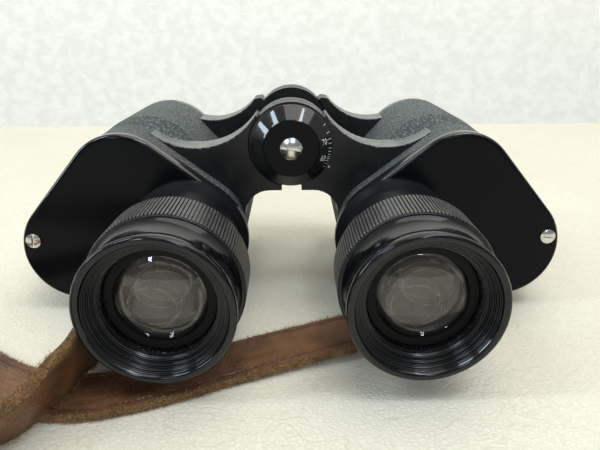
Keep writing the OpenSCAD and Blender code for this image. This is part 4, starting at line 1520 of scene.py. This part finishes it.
@dataclass
class Strap:
    """The leather neck strap: one flat band from lug to lug. Sizes in millimetres."""

    packed: Packed
    width: float = 15.0
    thick: float = 2.2
    round_r: float = 0.5
    steps: int = 10
    lug_tilt: float = 7.585
    in_lug: float = -18.88
    lie: float = -22.1
    axis_height: float = 23.2
    half_length: float = 58.75
    sharp: float = 60.0
    smooth_run: int = 7
    frayed: float = 0.16
    lowest: float = 0.02
    fibres: float = 13.0
    fibre_length: float = 1.3
    fibre_r: float = 0.09
    fibre_lean: float = 0.9
    shortest: float = 0.35
    raw_share: float = 0.7
    ring_room: float = 20.6
    ground: float = 0.1
    flatten: float = 0.05
    seed: int = 4

    def route(self) -> list[tuple[float, float, float, float]]:
        """X, Y, height and roll of the strap's middle, as in the construction."""
        lug, tilt, lie = self.in_lug, self.lug_tilt, self.lie
        return [
            (-47, 60.2, lug, tilt), (-47, 55, lug, tilt), (-47, 50.8, -19.25, 8.5), (-47, 45.4, -19.9, 11.5),
            (-47.6, 38.6, -18.8, 26), (-49, 31, -16.85, 47), (-49.6, 23, -15.6, 70), (-48.8, 17, -15.4, 82),
            (-48.6, 10, -13.35, 80), (-48.9, 1.5, -13.3, 76), (-50.4, -4.5, -13.35, 70),
            (-53.2, -10, -15.2, 64), (-57.2, -14.6, -15.9, 58), (-68, -24, -16.9, 46), (-88, -40, -18.8, 26),
            (-118, -58, -21.15, 6), (-152, -71, lie + 0.15, 0), (-200, -70, lie, 0), (-235, -44, lie, 0),
            (-248, -2, lie, 0), (-234, 40, lie, 0), (-197, 64, lie, 0), (-152, 62, lie, 0),
            (-115, 42, lie, 0), (-88, 20, lie, 0), (-67, 6.5, lie, 0), (-50, 2.6, lie, 0),
            (-39, 4.2, lie, 0), (-28, 8.5, lie, 0), (-16.6, 13.8, -21.9, 0), (-2.5, 19.2, -21.2, 0),
            (12.3, 24.6, -20.6, 0), (26, 30.8, -20.4, 1), (36, 37.4, -20.1, 4), (43, 45, -19.7, 6.5),
            (46.2, 50.2, -19.15, tilt), (47, 55, lug, tilt), (47, 60.2, lug, tilt),
        ]

    def place(self, rows: np.ndarray) -> np.ndarray:
        """Moves rows of the construction's millimetres into the shared frame."""
        return rows[:, :3] + np.array([0.0, -self.half_length, self.axis_height])

    def section(self) -> list[tuple[float, float, float, float, float]]:
        """The band's cross-section: across, up, and its share of edge, crease and underside."""
        w, t, c = self.width / 2, self.thick / 2, self.round_r
        groove = 5.6
        top = [(x, t - 0.2, 0.0, 1.0, 0.0) if abs(x) == groove else (x, t, 0.0, 0.0, 0.0)
               for x in (-5.95, -groove, -5.25, -3.5, -1.2, 1.2, 3.5, 5.25, groove, 5.95)]
        corner_a = [(w - c, t, 0.25, 0, 0), (w - 0.15, t - 0.15, 0.8, 0, 0), (w, t - c, 1, 0, 0),
                    (w, 0, 1, 0, 0), (w, c - t, 1, 0, 0.5), (w - 0.15, 0.15 - t, 1, 0, 1),
                    (w - c, -t, 0.6, 0, 1)]
        under = [(x, -t, 0.0, 0.0, 1.0) for x in (4.5, 1.5, -1.5, -4.5)]
        corner_b = [(-x, y, e, k, u) for x, y, e, k, u in reversed(corner_a)]
        return top + corner_a + under + corner_b

    def band(self) -> tuple[bpy.types.Object, np.ndarray]:
        """Sweeps the section along the route.

        Returns:
            The band, and the centre line in the shared frame, in metres.
        """
        rows = smooth_curve(self.route(), self.steps)
        line = self.place(rows)
        section = self.section()
        m = len(section)
        last = len(line) - 1
        run = np.concatenate([[0.0], np.cumsum(np.linalg.norm(np.diff(line, axis=0), axis=1))])
        points = []
        rng = np.random.default_rng(self.seed)
        wander = rng.normal(0, 1, (2, last + 1))
        kernel = np.ones(self.smooth_run) / self.smooth_run
        wander = np.array([np.convolve(row, kernel, "same") for row in wander])
        for j in range(last + 1):
            go = Vector(line[min(j + 1, last)] - line[max(j - 1, 0)]).normalized()
            level = Vector((0, 0, 1)).cross(go).normalized()
            up = go.cross(level)
            a = math.radians(rows[j][3])
            wide = math.cos(a) * level + math.sin(a) * up
            high = math.cos(a) * up - math.sin(a) * level
            for x, y, edge, _, _ in section:
                slip = float(wander[0 if x > 0 else 1][j]) * self.frayed * edge
                inward = -abs(slip) if x > 0 else abs(slip)
                spot = Vector(line[j]) + (x + inward) * wide + y * high
                spot.z = max(spot.z, self.lowest)
                points.append(tuple(spot))
        faces = bridged(last + 1, m, closed=False)
        faces += [tuple(range(m)), tuple(last * m + i for i in range(m))]
        finish = StrapLeather("strap_leather", specular=0.42)
        mesh = bpy.data.meshes.new("strap_band")
        mesh.from_pydata([tuple(c * MM for c in p) for p in points], [], faces)
        for column, name in enumerate(STRAP_MASKS, 2):
            values = [row[column] for _ in range(last + 1) for row in section]
            mesh.attributes.new(name, "FLOAT", "POINT").data.foreach_set("value", values)
        uv = mesh.uv_layers.new(name="strap")
        for loop in mesh.loops:
            j, i = divmod(loop.vertex_index, m)
            uv.data[loop.index].uv = (section[i][0] * MM, run[j] * MM)
        tidy(mesh, 0.0)
        mesh.set_sharp_from_angle(angle=math.radians(self.sharp))
        mesh.materials.append(finish.make())
        return linked("strap_band", mesh), line * MM

    def fringe(self, band: bpy.types.Object) -> bpy.types.Object:
        """Loose fibres along the raw edges, scattered by Geometry Nodes.

        Args:
            band: The finished band, which is copied.

        Returns:
            The fibres as one plain mesh.
        """
        source = band.copy()
        source.data = band.data.copy()
        bpy.context.scene.collection.objects.link(source)
        growth = Growth("fringe_tree", Density=self.fibres / (MM * MM), Seed=self.seed,
                        Length=self.fibre_length * MM, Radius=self.fibre_r * MM)
        n, given = growth.n, growth.given
        edge = n.add("GeometryNodeInputNamedAttribute", {"data_type": "FLOAT"}, {"Name": "edge"})
        free = edge > self.raw_share
        x, _, z = n.split(n.add("GeometryNodeInputPosition"))
        for side in Side:
            free = free * (n.away(x, z, self.packed.axis(side.node("focus_ring"))) > self.ring_room * MM)
        spots = n.add(
            "GeometryNodeDistributePointsOnFaces", {"distribute_method": "RANDOM"},
            {"Mesh": given("Geometry"), "Density": given("Density"), "Seed": given("Seed"),
             "Selection": free})
        normal = Sock(n, spots.out.node.outputs["Normal"])
        lean = self.fibre_lean
        shake = n.add("FunctionNodeRandomValue", {"data_type": "FLOAT_VECTOR"},
                      {0: (-lean,) * 3, 1: (lean,) * 3, "Seed": given("Seed")})
        way = n.add("ShaderNodeVectorMath", {"operation": "ADD"}, {0: normal, 1: shake})
        turn = n.add("FunctionNodeAlignRotationToVector", {"axis": "Z"}, {"Vector": way})
        strand = n.add(
            "GeometryNodeMeshCone", {"fill_type": "NONE"},
            {"Vertices": 3, "Side Segments": 1, "Radius Top": 0.0, "Radius Bottom": given("Radius"),
             "Depth": given("Length")})
        size = n.add("FunctionNodeRandomValue", {"data_type": "FLOAT"},
                     {2: self.shortest, 3: 1.0, "Seed": given("Seed")}, out=1)
        copies = n.copies(spots, strand, turn, size)
        growth.close(copies, Fibre("strap_fibre"))
        fibres = growth.run(source, "strap_fibres")
        ground = self.ground * MM
        for vertex in fibres.data.vertices:
            if vertex.co.z < ground:
                vertex.co.z = ground + (vertex.co.z - ground) * self.flatten
        return fibres

    def build(self) -> None:
        band, line = self.band()
        fibres = self.fringe(band)
        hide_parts("strap")
        for piece in (band, fibres):
            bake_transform(piece)
        length = float(np.linalg.norm(np.diff(line, axis=0), axis=1).sum())
        tuple(line[0])
        [tuple(p) for p in line]
        LOG.info("strap %.3f m long, %d fibre faces", length, len(fibres.data.polygons))


# ---------------------------------------------------------------- stage


@dataclass(frozen=True)
class Lamp:
    """An area lamp that looks at the object; its first side runs `along`. Metres and watts."""

    name: str
    at: tuple[float, float, float]
    size: Point2
    power: float
    colour: tuple[float, float, float] = (0.72, 0.86, 1.0)
    along: tuple[float, float, float] = (0, 0, 1)


@dataclass
class Stage:
    """Table, wall, lamps and camera. Sizes in metres."""

    lens: float = 32.397
    sensor: float = 36.0
    eye: tuple[float, float, float] = (0.00056, -0.15718, 0.07955)
    pitch: float = 20.470
    yaw: float = 0.692
    roll: float = -0.247
    table_back: float = 0.295
    wall_at: float = 0.85
    wall_foot: float = -1.5
    wall_top: float = 2.2
    board: float = 0.03
    reach: float = 3.0
    aim: float = 0.02  # height that the lamps look at
    lamps: tuple[Lamp, ...] = (
        Lamp("ceiling_soft", (0.28, 0.08, 1.30), (1.3, 1.0), 8.7, (1.0, 0.965, 0.90)),
        Lamp("window_low", (-1.21, -0.153, 0.498), (0.46, 0.17), 3.2),
        Lamp("window_high", (-0.82, -0.24, 1.03), (0.42, 0.16), 2.9),
        Lamp("ceiling_tube", (0.375, -0.435, 1.38), (0.66, 0.15), 4.4, along=(1.0, 1.0, 0.0)),
        Lamp("room_left", (-0.62, -1.45, 0.80), (0.42, 0.13), 4.0),
        Lamp("room_right", (0.25, -1.55, 0.95), (0.42, 0.13), 4.0),
    )

    def camera(self) -> None:
        """Sets the camera."""
        data = bpy.data.cameras.new("camera")
        data.lens = self.lens
        data.sensor_width = self.sensor
        data.clip_start = 0.005
        data.clip_end = 20
        th, ps, ro = (math.radians(v) for v in (self.pitch, self.yaw, self.roll))
        ahead = Vector((math.sin(ps) * math.cos(th), math.cos(ps) * math.cos(th), -math.sin(th)))
        right = Vector((math.cos(ps), -math.sin(ps), 0))
        up = right.cross(ahead)
        right_now = right * math.cos(ro) + up * math.sin(ro)
        up_now = -right * math.sin(ro) + up * math.cos(ro)
        bpy.context.scene.camera = self.aimed("camera", data, self.eye, (right_now, up_now, -ahead))

    def aimed(
        self, name: str, data: bpy.types.ID, at: Sequence[float], axes: Sequence[Vector]
    ) -> bpy.types.Object:
        """Puts a camera or lamp in its place, with its X, Y and Z turned to the three axes."""
        holder = linked(name, data)
        holder.matrix_world = Matrix.Translation(at) @ Matrix(axes).transposed().to_4x4()
        return holder

    def slab(self, name: str, low: Sequence[float], high: Sequence[float], finish: Finish) -> None:
        """A flat box of the stage."""
        corners = [(x, y, z) for x in (low[0], high[0]) for y in (low[1], high[1]) for z in (low[2], high[2])]
        mesh_object(name, [tuple(c / MM for c in p) for p in corners], BOX_FACES, finish)

    def light(self, lamp: Lamp) -> None:
        """Hangs a lamp."""
        data = bpy.data.lights.new(lamp.name, "AREA")
        data.shape = "RECTANGLE"
        data.size, data.size_y = lamp.size
        data.energy = lamp.power
        data.color = lamp.colour
        at = Vector(lamp.at)
        back = (at - Vector((0, 0, self.aim))).normalized()
        side = Vector(lamp.along)
        side = (side - side.dot(back) * back).normalized()
        self.aimed(lamp.name, data, at, (side, back.cross(side), back))

    def world(self) -> None:
        """A soft pale room, dimmer behind the camera where the viewer stands."""
        world = bpy.data.worlds.new("room")
        bpy.context.scene.world = world
        world.use_nodes = True
        world.node_tree.nodes.clear()
        n = NodeMaker(world.node_tree)
        _, ahead, up = n.split(n.add("ShaderNodeTexCoord", out="Generated"))
        strength = n.ramp(ahead + up * 0.7, -0.55, 0.75, (0.22, 0.56))
        glow = n.add("ShaderNodeBackground", inputs={"Color": (0.95, 0.95, 0.92, 1.0), "Strength": strength})
        n.add("ShaderNodeOutputWorld", inputs={"Surface": glow})

    def build(self) -> None:
        """Builds the stage."""
        self.camera()
        wide, board, wall_back = self.reach, self.board, self.wall_at + self.board
        self.slab("table", (-wide, -wide, -board), (wide, self.table_back, 0.0), TableTop("table_top"))
        self.slab("wall", (-wide, self.wall_at, self.wall_foot), (wide, wall_back, self.wall_top),
                  WallPaper("wall_paper"))
        self.world()
        for lamp in self.lamps:
            self.light(lamp)
        bpy.context.scene.view_settings.view_transform = "Standard"


def main() -> None:
    """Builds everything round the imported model."""
    logging.basicConfig(level=logging.INFO, format="%(name)s: %(message)s")
    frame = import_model()
    packed = Packed(frame["nodes"])
    Stage().build()
    Strap(packed).build()
    for side in Side:
        Housing(packed, side).build()
        Eyepiece(packed, side).build()
        Objective(packed, side).build()
        Prisms(packed, side).build()
    Hinge(packed).build()


if __name__ == "__main__":
    main()
